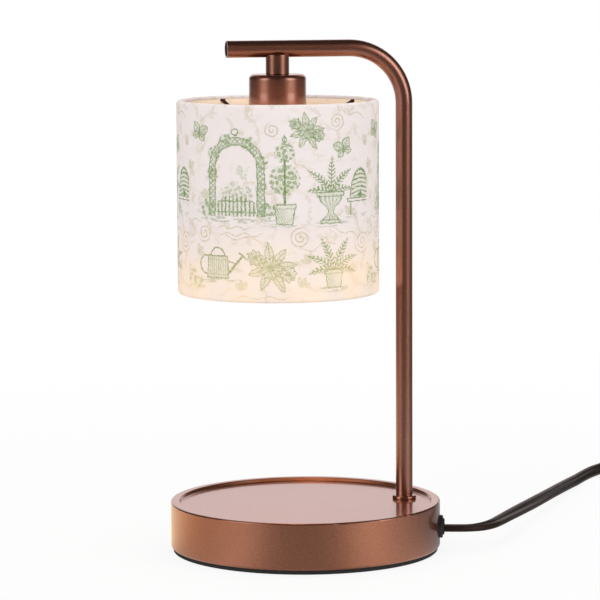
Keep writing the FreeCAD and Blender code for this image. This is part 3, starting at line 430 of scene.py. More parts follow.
def stripes(value, pitch, half=0.15, soft=0.1):
    """Lines a pitch apart; half is their half width as a share of the pitch."""
    return stroke((value * (1 / pitch)).fract() - 0.5, half, soft)


def bowl(p, half, rise):
    """Arch over -half to half: rise in its middle, below zero past its ends."""
    share = p * (1 / half)
    return share * share * -rise + rise


def scatter(look, size):
    """Leaves all over the cloth, each turned its own way: their lines and their faces."""
    cell = look.node("ShaderNodeTexVoronoi", voronoi_dimensions="2D")
    cell.inputs["Scale"].default_value = 1.0 / size
    feed(look.tree, cell.inputs["Vector"], look.vector)
    centre = look.node("ShaderNodeVectorMath", operation="SUBTRACT")
    feed(look.tree, centre.inputs[0], look.vector)
    feed(look.tree, centre.inputs[1], cell.outputs["Position"])
    chance = look.node("ShaderNodeSeparateColor")
    feed(look.tree, chance.inputs[0], cell.outputs["Color"])
    turn = look.node("ShaderNodeVectorRotate", rotation_type="Z_AXIS")
    feed(look.tree, turn.inputs["Vector"], centre.outputs[0])
    feed(look.tree, turn.inputs["Angle"], Wire(look.tree, chance.outputs[0]) * (2 * math.pi))
    p, q = look.axes(turn.outputs[0])[:2]
    edge = abs(q) - bowl(p, 0.46 * size, 0.25 * size)
    face = within(edge, 0.0)
    return stroke(edge, 0.2).max(stroke(q, 0.12) * face), face


def oval(p, q, wide, tall):
    """Distance from the origin in a frame stretched so that the oval's edge lies at 1."""
    p, q = p * (1 / wide), q * (1 / tall)
    return p.line(p, q * q).root()


class Drawing(Nodes):
    """One motif of the print in a node group of its own: ink lines, flat tone, sand-coloured lines."""

    def __init__(self, name):
        group = bpy.data.node_groups.new(name, "ShaderNodeTree")
        for socket in ("Sheet", "U", "V", "Lines", "Faces", "Broken"):
            kind = "Vector" if socket == "Sheet" else "Float"
            group.interface.new_socket(socket, in_out="INPUT", socket_type="NodeSocket" + kind)
        given = group.nodes.new("NodeGroupInput").outputs
        super().__init__(group, given[0])
        self.u, self.v, *leaves, self.broken = [Wire(group, out) for out in given[1:6]]
        self.leaves = leaves
        self.layers = {}

    def add(self, layer, value, strength=1.0):
        """Draws on a layer, over what is there."""
        if strength != 1.0:
            value = value * strength
        held = self.layers.get(layer)
        self.layers[layer] = value if held is None else held.max(value)

    def finish(self, look, given, layers):
        """Puts the group in the cloth's tree and adds what it draws to the layers there."""
        made = look.node("ShaderNodeGroup", node_tree=self.tree)
        end = self.node("NodeGroupOutput")
        for layer, value in self.layers.items():
            self.tree.interface.new_socket(layer, in_out="OUTPUT", socket_type="NodeSocketFloat")
            feed(self.tree, end.inputs[layer], value)
        for socket, value in zip(made.inputs, given):
            feed(look.tree, socket, value)
        for layer in self.layers:
            drawn = Wire(look.tree, made.outputs[layer])
            layers[layer] = drawn.max(layers[layer]) if layer in layers else drawn

    def frame(self, at, turn=0.0):
        """Place on the cloth measured from a point, along a direction and across it."""
        if not turn:
            return self.u - at[0], self.v - at[1]
        c, s = math.cos(math.radians(turn)), math.sin(math.radians(turn))
        p = self.u.line(c, self.v.line(s, -at[0] * c - at[1] * s))
        q = self.v.line(c, self.u.line(-s, at[0] * s - at[1] * c))
        return p, q

    def away(self, at):
        """Distance from a point."""
        node = self.node("ShaderNodeVectorMath", operation="DISTANCE")
        feed(self.tree, node.inputs[0], self.vector)
        node.inputs[1].default_value = (*at, 0.0)
        return Wire(self.tree, node.outputs["Value"])

    def mass(self, circles, strength=1.0, ragged=0.9):
        """Round masses of leaves that run together."""
        edge = None
        for x, y, radius in circles:
            one = self.away((x, y)) - radius
            edge = one if edge is None else edge.min(one)
        lines, faces = self.leaves
        edge = edge + lines * -ragged
        inside = within(edge, 0.0, 0.35)
        self.add("ink", inside * lines, strength)
        self.add("tone", inside * (faces * 0.5 + 0.5), strength)

    def leaf(self, at, turn, length, width, strength=1.0, layer="ink"):
        """Single leaf from its stalk: outline, midrib and side veins."""
        p, q = self.frame(at, turn)
        side = abs(q)
        edge = side - bowl(p - length / 2, length / 2, width / 2)
        inside = within(edge, 0.0, 0.3)
        veins = stripes(p - side * 0.9, 1.9, 0.14, 0.1)
        lines = stroke(edge, 0.28).max(inside * stroke(q, 0.2)).max(inside * veins * 0.5)
        self.add(layer, lines, strength)
        self.add("tone", inside, 0.55 * strength)

    def frond(self, at, turn, length, width, bend):
        """Curved stem with two rows of slanting leaflets."""
        p, q = self.frame(at, turn)
        side = q - p * p * bend
        reach = abs(side)
        inside = within(reach - bowl(p - length * 0.52, length * 0.5, width / 2), 0.0, 0.4)
        comb = p - reach * 0.8
        self.add("ink", inside * stripes(comb, 2.2, 0.2, 0.1), 0.9)
        self.add("tone", inside * stripes(comb, 2.2, 0.34, 0.1), 0.6)
        self.add("ink", within(abs(p - length / 2), length / 2) * stroke(side, 0.28))

    def blossom(self, at, radius, petals, turn=0.0):
        """Open flower: pointed petals round a dotted eye."""
        p, q = self.frame(at, turn)
        reach = self.away(at)
        fold = q.angle(p).wrap(-math.pi / petals, math.pi / petals)
        across = abs(reach * fold.sin())
        along = reach * fold.cos()
        wide = radius * math.tan(math.pi / petals) * 0.62
        edge = across - bowl(along - radius * 0.58, radius * 0.42, wide)
        inside = within(edge, 0.0, 0.3)
        eye = within(reach, radius * 0.22)
        self.add("ink", stroke(edge, 0.26).max(inside * stroke(across, 0.18) * 0.6).max(eye * 0.8))
        self.add("tone", inside, 0.4)

    def bar(self, start, end, half):
        """Straight line between two points."""
        dx, dy = end[0] - start[0], end[1] - start[1]
        length = math.hypot(dx, dy)
        p, q = self.frame(start, math.degrees(math.atan2(dy, dx)))
        self.add("ink", within(abs(p - length / 2), length / 2) * stroke(q, half))

    def scroll(self, at, turns, pitch, turn):
        """Spiral line that opens outwards."""
        p, q = self.frame(at, turn)
        reach = self.away(at)
        coil = (reach * (1 / pitch) + q.angle(p) * (1 / (2 * math.pi))).fract() - 0.5
        self.add("sand", within(reach, turns * pitch) * stroke(coil, 0.4 / pitch, 0.2 / pitch))

    def wave(self, at, length, rise, pace, turn=0.0):
        """Wavy line."""
        p, q = self.frame(at, turn)
        side = q - (p * (2 * math.pi / pace)).sin() * rise
        self.add("sand", within(abs(p), length / 2, 2.0) * stroke(side, 0.3))

    def soil(self, at, wide, tall):
        """Broken level strokes inside a flat oval."""
        p, q = self.frame(at)
        inside = within(oval(p, q, wide, tall), 0.9, 0.25)
        self.add("ink", inside * self.broken, 0.5)

    # Motifs

    def arch(self, x, y):
        """Garden arch with lattice sides and a low gate."""
        p, q = self.frame((x, y))
        rise = q.max(0.0)
        reach = (p * p + rise * rise).root()
        tall = within(-q, 28.0)
        band = within(abs(reach - 15.4), 2.1)
        lattice = stripes(p + q, 3.0).max(stripes(p - q, 3.0))
        self.add("ink", tall * stroke(abs(reach - 15.4) - 2.1, 0.3).max(band * lattice * 0.7))
        self.add("tone", tall * band, 0.5)
        gate = within(abs(p), 12.6) * within(-q, 27.5) * within(q - bowl(p, 13.0, 5.0), -20.5)
        rails = stroke(q + 25.2).max(stroke(q + 19.0))
        self.add("ink", gate * stripes(p, 2.5, 0.2, 0.12).max(rails), 0.9)
        self.add("tone", gate, 0.35)
        self.add("ink", stroke(self.away((x, y + 20.4)) - 1.9, 0.35))
        self.mass([(x - 15.5, y - 4, 3.4), (x - 14, y + 8, 4.0), (x - 6, y + 15.5, 3.8),
                   (x + 8, y + 14, 3.4), (x + 16, y + 3, 3.2), (x - 19, y - 23, 5.2),
                   (x + 19, y - 24, 4.4), (x + 15.6, y - 11, 2.6)])
        self.mass([(x - 7, y - 15, 3.6), (x - 1, y - 12.5, 4.4), (x + 6.5, y - 14.5, 3.8)], 0.55, 0.6)
        self.mass([(x + 3, y - 1.0, 2.6), (x + 5.5, y - 4.5, 2.0)], 0.4, 0.4)
        self.soil((x, y - 29.5), 27.0, 2.2)
        self.wave((x - 1, y - 34), 20.0, 0.8, 9.0)
        self.wave((x + 3, y - 38), 26.0, 1.0, 11.0)

    def pot(self, p, q, wide, tall):
        """Tapered flower pot standing on the local origin."""
        side = abs(p) - (q * 0.16 + wide * 0.78)
        edge = side.max(abs(q - tall * 0.42) - tall * 0.42)
        rim = (abs(p) - wide * 1.12).max(abs(q - tall * 0.92) - tall * 0.11)
        self.add("ink", stroke(edge.min(rim), 0.3))
        shaded = within(edge, 0.0) * within(p, -wide * 0.1, wide * 0.5)
        self.add("ink", shaded * stripes(p + q * 0.6, 1.5, 0.2), 0.6)
        self.add("tone", within(edge.min(rim), 0.0), 0.45)

    def topiary(self, x, y):
        """Tree clipped to two balls, in a pot."""
        p, q = self.frame((x, y))
        self.pot(p, q, 5.6, 11.0)
        self.add("ink", stroke(p, 0.55) * within(abs(q - 24.0), 13.0))
        self.mass([(x, y + 25.5, 8.6), (x, y + 41.0, 5.4)], ragged=0.5)
        self.leaf((x, y + 46.0), 90, 5.0, 2.2)
        self.soil((x, y - 0.8), 13.0, 1.8)

    def urn(self, x, y):
        """Footed urn with fern fronds."""
        p, q = self.frame((x, y))
        half = q.ramp(0.5, 5.5, 5.5, 1.7).max(q.ramp(6.0, 13.5, 1.7, 7.6))
        tall = within(abs(q - 8.0), 7.6)
        side = abs(p) - half
        face = tall * within(side, 0.0)
        rim = (abs(p) - 9.2).max(abs(q - 15.6) - 1.1)
        base = (abs(p) - 6.6).max(abs(q) - 0.9)
        self.add("ink", (tall * stroke(side, 0.3)).max(stroke(rim.min(base), 0.3)))
        self.add("ink", face * stripes(p / half, 0.36, 0.16, 0.12), 0.6)
        self.add("tone", face.max(within(rim.min(base), 0.0)), 0.45)
        for turn, length, bend in ((30, 15, -0.03), (58, 19, -0.015), (88, 21, 0.0),
                                   (121, 19, 0.016), (152, 14, 0.03)):
            self.frond((x, y + 16.5), turn, length, 5.0, bend)
        self.soil((x, y - 1.5), 14.0, 1.8)

    def skep(self, x, y):
        """Straw beehive on a stand."""
        p, q = self.frame((x, y))
        dome = (oval(p, q, 8.6, 16.0) - 1.0) * 8.0
        tall = within(-q, 0.0)
        face = tall * within(dome, 0.0)
        self.add("ink", (tall * stroke(dome, 0.35)).max(face * stripes(q + p * p * 0.03, 2.4, 0.16)))
        self.add("ink", within(self.away((x, y + 1.2)), 1.9))
        self.add("tone", face, 0.5)
        board = (abs(p) - 11.0).max(abs(q + 1.4) - 0.9)
        self.add("ink", stroke(board, 0.3).max(stroke(abs(p) - 8.4, 0.45) * within(abs(q + 6.0), 4.0)))
        self.soil((x, y - 10.5), 14.0, 1.8)

    def can(self, x, y):
        """Watering can."""
        p, q = self.frame((x, y))
        body = (abs(p) - (q * -0.08 + 7.2)).max(abs(q) - 6.4)
        ring = self.away((x - 8.0, y + 1.0)) - 5.4
        hoop = self.away((x, y + 6.0)) - 5.0
        handle = stroke(ring, 0.5) * within(p, -7.4)
        self.add("ink", stroke(body, 0.32).max(handle).max(stroke(hoop, 0.45) * within(-q, -6.2)))
        self.add("ink", within(body, 0.0) * stripes(p, 1.5, 0.2).max(stroke(abs(q) - 4.2, 0.3)), 0.5)
        self.add("tone", within(body, 0.0), 0.5)
        self.bar((x + 7.0, y - 4.0), (x + 16.5, y + 7.0), 0.75)
        self.bar((x + 14.2, y + 8.8), (x + 18.8, y + 4.8), 0.5)
        self.bar((x + 7.0, y + 3.5), (x + 12.0, y + 2.2), 0.3)
        self.soil((x, y - 7.6), 16.0, 1.8)

    def fern(self, x, y):
        """Fern in a pot."""
        p, q = self.frame((x, y))
        self.pot(p, q, 5.6, 10.0)
        for turn, length, bend in ((18, 15, -0.03), (44, 18, -0.02), (72, 20, -0.01), (104, 20, 0.01),
                                   (134, 18, 0.02), (162, 15, 0.03)):
            self.frond((x, y + 10.0), turn, length, 5.2, bend)
        self.soil((x, y - 0.8), 14.0, 1.8)

    def butterfly(self, x, y, turn):
        """Two pairs of wings and a body, each drawn as a leaf."""
        for side in (1, -1):
            self.leaf((x, y), 90 + turn - side * 48, 8.0, 5.4)
            self.leaf((x, y), 90 + turn - side * 118, 6.0, 4.4)
        self.leaf((x, y - 2.4), 90, 5.0, 1.4)

    def posy(self, x, y, size):
        """Daisies among leaves."""
        for turn, length in ((8, 13), (52, 12), (97, 13), (150, 14), (196, 12), (245, 12),
                             (300, 14), (335, 12)):
            self.leaf((x, y), turn, length * size, 4.2 * size, 0.8)
        self.blossom((x, y), 6.4 * size, 9)
        self.blossom((x - 8 * size, y + 5 * size), 4.2 * size, 8, 14)
        self.blossom((x + 8.5 * size, y - 3 * size), 4.4 * size, 8, 5)

    def posies(self):
        """Flowers and butterflies along the top."""
        self.posy(18.0, 99.0, 0.85)
        self.butterfly(-50.0, 97.0, -14)
        self.butterfly(42.0, 88.0, 20)

    def middle(self):
        """Flowers and a bush along the bottom."""
        self.posy(-3.0, 21.0, 1.15)
        self.mass([(-57.0, 14.0, 4.4), (-62.0, 17.0, 3.6), (-51.0, 12.0, 3.0)], 0.9)
        self.soil((-56.0, 9.0), 12.0, 1.6)

    def scrolls(self):
        """Sand-coloured spirals and wavy lines between the other motifs."""
        self.scroll((14.0, 38.0), 2.4, 2.6, 30)
        self.scroll((58.0, 34.0), 2.6, 2.8, 200)
        self.scroll((-46.0, 40.0), 2.2, 2.5, 100)
        self.scroll((37.0, 104.0), 2.2, 2.4, 150)
        self.scroll((-2.0, 100.0), 1.9, 2.3, 290)
        self.wave((25.0, 33.0), 22.0, 1.6, 16.0, 12)
        self.wave((-20.0, 38.0), 24.0, 1.4, 19.0, -8)
        self.wave((45.0, 40.0), 20.0, 1.0, 14.0, -14)
        self.wave((-58.0, 46.0), 18.0, 1.2, 12.0, 10)
        self.wave((50.0, 108.0), 20.0, 1.4, 15.0, -10)
        self.wave((-8.0, 4.0), 30.0, 0.8, 15.0)

    def sprigs(self):
        """Small sand-coloured sprigs of three leaves."""
        for at, turn in (((14.0, 10.0), 60), ((20.0, 24.0), 130), ((-20.0, 8.0), 100),
                         ((-52.0, 28.0), 40), ((-44.0, 60.0), 110), ((46.0, 50.0), 75),
                         ((60.0, 90.0), 60), ((-60.0, 76.0), 85)):
            for spread in (-38, 0, 38):
                self.leaf(at, turn + spread, 6.0, 2.4, 0.8, "sand")


# Motifs and their places on one repeat of the print, in millimetres from its middle and bottom
GARDEN = [
    (Drawing.arch, -24.0, 78.0), (Drawing.topiary, 5.0, 46.0), (Drawing.urn, 33.0, 47.0),
    (Drawing.skep, 56.0, 60.0), (Drawing.can, -36.0, 21.0), (Drawing.fern, 35.0, 9.0),
    (Drawing.posies,), (Drawing.middle,), (Drawing.scrolls,), (Drawing.sprigs,),
]


def printed_cloth():
    """Woven cloth with the garden print on it, with the bulb's light through its lower part painted on
    as an orange tint and a glow.
    """
    look = Look("printed_cloth", (0.90, 0.82, 0.80), Specular_IOR_Level=0.2)
    radius = SHADE_RADIUS / MM
    tile = 2 * math.pi * radius / PRINT_REPEATS
    x, y, z = look.axes()
    around = y.angle(x - LAMP_X / MM) * radius
    high = z - SHADE_BOTTOM / MM
    u = (around - PRINT_FRONT).wrap(-tile / 2, tile / 2).line(1.0, look.noise(2.5, detail=1.0) * 1.5)
    v = high + look.noise(2.1, detail=1.0) * 1.5
    on_body = look.vector
    look.vector = look.joined(u, v)
    lines, faces = scatter(look, 2.6)
    broken = look.noise(3.0, detail=1.0, stretch=(0.4, 2.5, 1.0)).ramp(0.46, 0.58)
    # The least bit of these three in u makes the renderer work them out before the motifs
    u = (lines + broken + faces).line(1e-6, u)
    given = (look.joined(u, v), u, v, lines, faces, broken)
    wander = look.noise(19.0, detail=1.0) - 0.5
    vine = stroke(wander, 0.012, 0.010).max(within(abs(wander), 0.055, 0.02) * lines)
    layers = {"sand": vine * look.noise(9.0, detail=0.0).ramp(0.44, 0.58, 0.0, 0.62)}
    for motif, *at in GARDEN:
        drawing = Drawing(motif.__name__)
        motif(drawing, *at)
        drawing.finish(look, given, layers)
    look.vector = on_body
    worn = look.noise(1.3, detail=2.0).ramp(0.3, 0.6, 0.55, 1.0)
    cloud = look.noise(14.0, detail=2.0)
    ground = look.mix(cloud, (0.88, 0.80, 0.785), (0.92, 0.84, 0.82))
    wash = look.noise(11.0, detail=3.0, stretch=(1.0, 1.0, 2.2)).ramp(0.52, 0.70, 0.0, 0.22)
    inked = look.mix(wash, ground, (0.74, 0.64, 0.50))
    inked = look.mix(layers["sand"] * worn * 0.75, inked, (0.56, 0.45, 0.26))
    inked = look.mix(layers["tone"] * worn * 0.62, inked, (0.42, 0.55, 0.27))
    inked = look.mix(layers["ink"] * worn, inked, (0.17, 0.275, 0.085))
    # Painted lamplight: the lower part is tinted orange and glows, standing in for the bulb's light
    # through the cloth; a faint painted glow covers the rest
    glow = high.ramp(52.0, 6.0) * look.noise(26.0, detail=1.0).ramp(0.25, 0.75, 0.55, 1.15)
    glow_tinted = look.mix(glow * 0.42, inked, (0.95, 0.70, 0.40))
    look.set("Base Color", glow_tinted)
    look.set("Emission Color", look.mix(0.5, glow_tinted, (1.0, 0.55, 0.25)))
    look.set("Emission Strength", glow * 0.15 + 0.008)
    look.set("Roughness", cloud * 0.1 + 0.72)
    thread = 2 * math.pi / 0.7
    weave = (around * thread).sin() * (high * thread).sin()
    look.bump(weave * 0.5 + look.noise(0.9) * 0.5, 0.05)
    return look.material


MATERIALS = {}


def make_materials():
    """One finish for each slot of the record, and those that only the dressed part has."""
    MATERIALS.update({
        "copper_bronze": bronze("copper_bronze", (0.62, 0.235, 0.125), (0.40, 0.138, 0.070),
                                0.34, 0.09, 1.5),
        "dark_bronze": bronze("dark_bronze", (0.50, 0.185, 0.108), (0.34, 0.115, 0.065),
                              0.32, 0.16, 1.7),
        "wire_bronze": bronze("wire_bronze", (0.13, 0.055, 0.035), (0.08, 0.032, 0.020),
                              0.42, 0.3, 1.3),
        "cast_iron": cast_iron(),
        "zinc_steel": metal("zinc_steel", (0.62, 0.62, 0.61), 0.34),
        "foot_foam": foam(),
        "black_plastic": plastic("black_plastic", (0.012, 0.012, 0.012), 0.42),
        "gloss_black": plastic("gloss_black", (0.014, 0.014, 0.015), 0.28, grain=0.7),
        "phenolic": plastic("phenolic", (0.028, 0.020, 0.016), 0.38),
        "ceramic": ceramic(),
        "brass": metal("brass", (0.78, 0.58, 0.26), 0.25),
        "nickel": metal("nickel", (0.70, 0.68, 0.64), 0.2),
        "clear_glass": glass(),
        "reflector": reflector(),
        # Cord sheath: its reflections are tinted copper, a painted reflection of the bronze base beside
        # it
        "cord_sheath": plastic("cord_sheath", (0.017, 0.0100, 0.0072), 0.38, grain=0.8,
                               depth=0.006, shine=0.20, tint=(1.0, 0.80, 0.72)),
        "lead_white": plastic("lead_white", (0.78, 0.76, 0.70), 0.5, depth=0.03),
        "crimp_grey": plastic("crimp_grey", (0.52, 0.51, 0.49), 0.45),
        "board_green": plastic("board_green", (0.02, 0.11, 0.045), 0.35),
        "pot_blue": plastic("pot_blue", (0.03, 0.05, 0.10), 0.4),
        "parts_mixed": plastic("parts_mixed", (0.22, 0.11, 0.035), 0.38,
                               light=(0.30, 0.16, 0.06)),
        "printed_cloth": printed_cloth(),
        "shade_lining": lining(),
        "strap_black": plastic("strap_black", (0.016, 0.016, 0.017), 0.85, grain=0.5,
                               depth=0.15),
    })


def paint_frame():
    """Gives every CAD node the finish of its slot, and the shade's wires a darker one."""
    slots = {s["node"]: s["material_slot"] for s in frame["record"]["subparts"]}
    for node, slot in slots.items():
        if slot in MATERIALS:
            paint(bpy.data.objects[node], MATERIALS[slot])
    for node in ("shade_spider", "shade_bottom_wire"):
        paint(bpy.data.objects[node], MATERIALS["wire_bronze"])


def paint(piece, material):
    """Gives a piece one material and no other."""
    piece.data.materials.clear()
    piece.data.materials.append(material)


# Meshes

def piece_from(name, build, outward=False):
    """A mesh object made by build(bm); outward keeps the faces' own sides."""
    bm = bmesh.new()
    build(bm)
    if not outward:
        bmesh.ops.recalc_face_normals(bm, faces=bm.faces)
    mesh = bpy.data.meshes.new(name)
    bm.to_mesh(mesh)
    bm.free()
    piece = bpy.data.objects.new(name, mesh)
    bpy.context.collection.objects.link(piece)
    return piece


def applied(piece, name):
    """The piece with its modifiers worked into its mesh, under the given name."""
    mesh = bpy.data.meshes.new_from_object(piece.evaluated_get(bpy.context.evaluated_depsgraph_get()))
    mesh.name = name
    made = bpy.data.objects.new(name, mesh)
    bpy.context.collection.objects.link(made)
    bpy.data.objects.remove(piece)
    return made


def smooth(piece, degrees):
    """Smooth shading with the edges that turn further than this left sharp."""
    for face in piece.data.polygons:
        face.use_smooth = True
    piece.data.set_sharp_from_angle(angle=math.radians(degrees))


def spline_points(points, resolution=8):
    """The line of the NURBS spline whose control points are given."""
    curve = bpy.data.curves.new("route", "CURVE")
    curve.dimensions = "3D"
    spline = curve.splines.new("NURBS")
    spline.points.add(len(points) - 1)
    for point, at in zip(spline.points, points):
        point.co = (*at, 1.0)
    spline.order_u = 3
    spline.use_endpoint_u = True
    curve.resolution_u = resolution
    carrier = bpy.data.objects.new("route", curve)
    mesh = bpy.data.meshes.new_from_object(carrier)
    line = [v.co.copy() for v in mesh.vertices]
    bpy.data.objects.remove(carrier)
    bpy.data.curves.remove(curve)
    bpy.data.meshes.remove(mesh)
    return line


def twin_profile():
    """Section of flat twin cord: two round cores with a shallow groove between them."""
    core = CORD_THICKNESS / 2
    centre = CORD_WIDTH / 2 - core
    steps = 10
    half = []
    for k in range(steps + 1):
        a = math.radians(90 - 180 * k / steps)
        half.append((centre + core * math.cos(a), core * math.sin(a)))
    for x, deep in ((0.45 * centre, 0.35), (0.0, 1.0), (-0.45 * centre, 0.35)):
        half.append((x, -core + CORD_GROOVE * deep))
    return half + [(-x, -y) for x, y in half]


def sweep(name, line, profile, roll=None):
    """Solid strip of the profile along a line; roll gives the degrees it is turned at a point."""
    def build(bm):
        rings = []
        for i, at in enumerate(line):
            along = (line[min(i + 1, len(line) - 1)] - line[max(i - 1, 0)]).normalized()
            side = Vector((along.y, -along.x, 0)).normalized()
            up = side.cross(along)
            if roll:
                turned = Matrix.Rotation(math.radians(roll(at)), 3, along)
                side, up = turned @ side, turned @ up
            rings.append([bm.verts.new(at + side * x + up * y) for x, y in profile])
        for first, second in zip(rings, rings[1:]):
            for k in range(len(profile)):
                n = (k + 1) % len(profile)
                bm.faces.new((first[k], first[n], second[n], second[k]))
        bm.faces.new(rings[0][::-1])
        bm.faces.new(rings[-1])
    piece = piece_from(name, build)
    smooth(piece, 60.0)
    return piece


def between(plan, at):
    """Straight-line values of a table whose first column rises."""
    for low, high in zip(plan, plan[1:]):
        if at <= high[0]:
            part = (at - low[0]) / (high[0] - low[0])
            return [a + (b - a) * part for a, b in zip(low[1:], high[1:])]
    return list(plan[-1][1:])


def coil_points():
    """Control points of the coil's turns, wound clockwise from its entry."""
    entry = Vector(TAIL_ROUTE[-1]) - Vector((*COIL_CENTRE, 0))
    start = math.atan2(entry.y, entry.x)
    stretch = 1 / math.cos(math.pi / COIL_STEPS)  # the line cuts inside its points
    first, last = COIL_PLAN[0][0], COIL_PLAN[-1][0]
    count = round((last - first) * COIL_STEPS)
    points = []
    for k in range(count + 1):
        turn = first + (last - first) * k / count
        radius, height = between(COIL_PLAN, turn)
        a = start - 2 * math.pi * turn
        reach = radius * MM * stretch
        points.append((COIL_CENTRE[0] + reach * math.cos(a), COIL_CENTRE[1] + reach * math.sin(a),
                       height * MM))
    return points


def share(value):
    """The value kept between 0 and 1."""
    return min(1.0, max(0.0, value))


def lead_roll(at):
    """The lead leaves the base lying flat, turns on edge and lies flat again at the dimmer."""
    turned = share((at.x - ROLL_START) / ROLL_RUN)
    return LEAD_ROLL * turned * share((FLAT_AGAIN - at.x) / UNROLL_RUN)


def resting(at):
    """The point, raised where the lead's turned section would go below the table."""
    half = CORD_THICKNESS / 2
    reach = half + (CORD_WIDTH / 2 - half) * abs(math.sin(math.radians(lead_roll(at))))
    return Vector((at.x, at.y, max(at.z, reach)))


def lay_cords():
    """The lead to the dimmer and the tail with its coil, both as flat twin cord."""
    profile = twin_profile()
    lead_line = [resting(at) for at in spline_points(LEAD_ROUTE, 10)]
    lead = sweep("mains_lead", lead_line, profile, lead_roll)
    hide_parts("cord_lead")
    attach(lead, "lamp")
    tail_line = spline_points(TAIL_ROUTE[:-1] + coil_points() + END_ROUTE[1:], 6)
    tail = sweep("mains_tail", tail_line, profile)
    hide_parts("cord_tail", "cord_coil", "cord_end")
    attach(tail, "lamp")
    for piece in (lead, tail):
        paint(piece, MATERIALS["cord_sheath"])


# Shade

def quarter(middle_r, middle_z, start):
    """Points of a quarter circle of the hem's radius, from the start angle, turning clockwise."""
    points = []
    for k in range(HEM_STEPS + 1):
        a = math.radians(start - 90.0 * k / HEM_STEPS)
        points.append((middle_r + HEM_RADIUS * math.cos(a), middle_z + HEM_RADIUS * math.sin(a)))
    return points


def shade_section():
    """Radius and height along the printed face, from the top hem's free edge to the bottom one's."""
    hem = SHADE_RADIUS - HEM_WIDTH
    top, bottom = SHADE_TOP - HEM_RADIUS, SHADE_BOTTOM + HEM_RADIUS
    inner, outer = hem + HEM_RADIUS, SHADE_RADIUS - HEM_RADIUS
    section = [(hem, SHADE_TOP - HEM_DEPTH), (hem, SHADE_TOP - 0.7 * HEM_DEPTH)]
    section += quarter(inner, top, 180.0) + quarter(outer, top, 90.0)
    section += [(SHADE_RADIUS, top + (bottom - top) * k / WALL_STEPS) for k in range(1, WALL_STEPS)]
    section += quarter(outer, bottom, 0.0) + quarter(inner, bottom, 270.0)
    section += [(hem, SHADE_BOTTOM + 0.7 * HEM_DEPTH), (hem, SHADE_BOTTOM + HEM_DEPTH)]
    return section


def swell(angle, height):
    """How far the cloth stands out: its slack between the two rings and the overlap at the seam."""
    middle = (height - SHADE_BOTTOM) / (SHADE_TOP - SHADE_BOTTOM)
    slack = SLACK * (math.sin(3 * angle + 0.7) + 0.6 * math.sin(7 * angle))
    past = (math.degrees(angle) - SEAM_ANGLE) / SEAM_TURN
    lift = SEAM_LIFT * share(1.0 - past) if past >= 0 else 0.0
    return slack * 4 * middle * (1 - middle) + lift


def shade_cloth():
    """Laminated cloth turned over both wire rings, notched for the spider's arms, glued at the back."""
    section = shade_section()

    def ring(bm, angle):
        """The section's points at an angle round the shade."""
        made = []
        for radius, height in section:
            reach = radius + swell(angle, height)
            x, y = LAMP_X + reach * math.cos(angle), reach * math.sin(angle)
            made.append(bm.verts.new((x, y, height)))
        return made

    def notched(column, i):
        """Whether a face of the top hem's turn-in is left out, because an arm passes there."""
        middle = math.degrees(2 * math.pi * (column + 0.5) / CLOTH_COLUMNS)
        at_arm = any(abs(middle - arm) < NOTCH_HALF for arm in SPIDER_ANGLES)
        return at_arm and i < NOTCH_FACES

    def build(bm):
        rings = [ring(bm, 2 * math.pi * k / CLOTH_COLUMNS) for k in range(CLOTH_COLUMNS)]
        for k, first in enumerate(rings):
            second = rings[(k + 1) % CLOTH_COLUMNS]
            for i in range(len(section) - 1):
                if notched(k, i):
                    continue
                face = bm.faces.new((first[i], first[i + 1], second[i + 1], second[i]))
                face.material_index = int(i < LINED_FACES)

    face = piece_from("shade_face", build, outward=True)
    wall = face.modifiers.new("wall", "SOLIDIFY")
    wall.thickness = CLOTH
    wall.offset = -1.0
    wall.material_offset = 1
    wall.material_offset_rim = 1
    for material in ("printed_cloth", "shade_lining"):
        face.data.materials.append(MATERIALS[material])
    piece = applied(face, "shade_cloth")
    smooth(piece, 35.0)
    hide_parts("shade_fabric")
    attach(piece, "lamp")


# Stage

def camera():
    """The photograph's view: a long lens, a little above the base."""
    data = bpy.data.cameras.new("camera")
    data.sensor_width = SENSOR
    data.lens = FOCAL / PICTURE * SENSOR
    data.shift_x = SHIFT_X / PICTURE
    data.shift_y = SHIFT_Y / PICTURE
    data.clip_start = 0.05
    data.clip_end = 50.0
    level = math.cos(CAMERA_ELEVATION)
    back = Vector((math.sin(CAMERA_AZIMUTH) * level, -math.cos(CAMERA_AZIMUTH) * level,
                   math.sin(CAMERA_ELEVATION)))
    piece = bpy.data.objects.new("camera", data)
    bpy.context.collection.objects.link(piece)
    piece.rotation_mode = "QUATERNION"
    turn = (-back).to_track_quat("-Z", "Y")
    piece.rotation_quaternion = turn @ Matrix.Rotation(CAMERA_ROLL, 4, "Z").to_quaternion()
    piece.location = Vector(MIDDLE) + back * CAMERA_DISTANCE
    bpy.context.scene.camera = piece


def kinds_of_ray(tree):
    """1 for the camera's own rays, and 1 for rays that a surface mirrored or let through."""
    path = tree.nodes.new("ShaderNodeLightPath").outputs
    eye, glossy, through = [Wire(tree, path[f"Is {kind} Ray"])
                            for kind in ("Camera", "Glossy", "Transmission")]
    return eye, glossy.max(through)


def facing(x, y):
    """Angle round the lamp from the camera's side, right positive."""
    right = x * math.cos(CAMERA_AZIMUTH) + y * math.sin(CAMERA_AZIMUTH)
    front = x * math.sin(CAMERA_AZIMUTH) - y * math.cos(CAMERA_AZIMUTH)
    return right.angle(front)


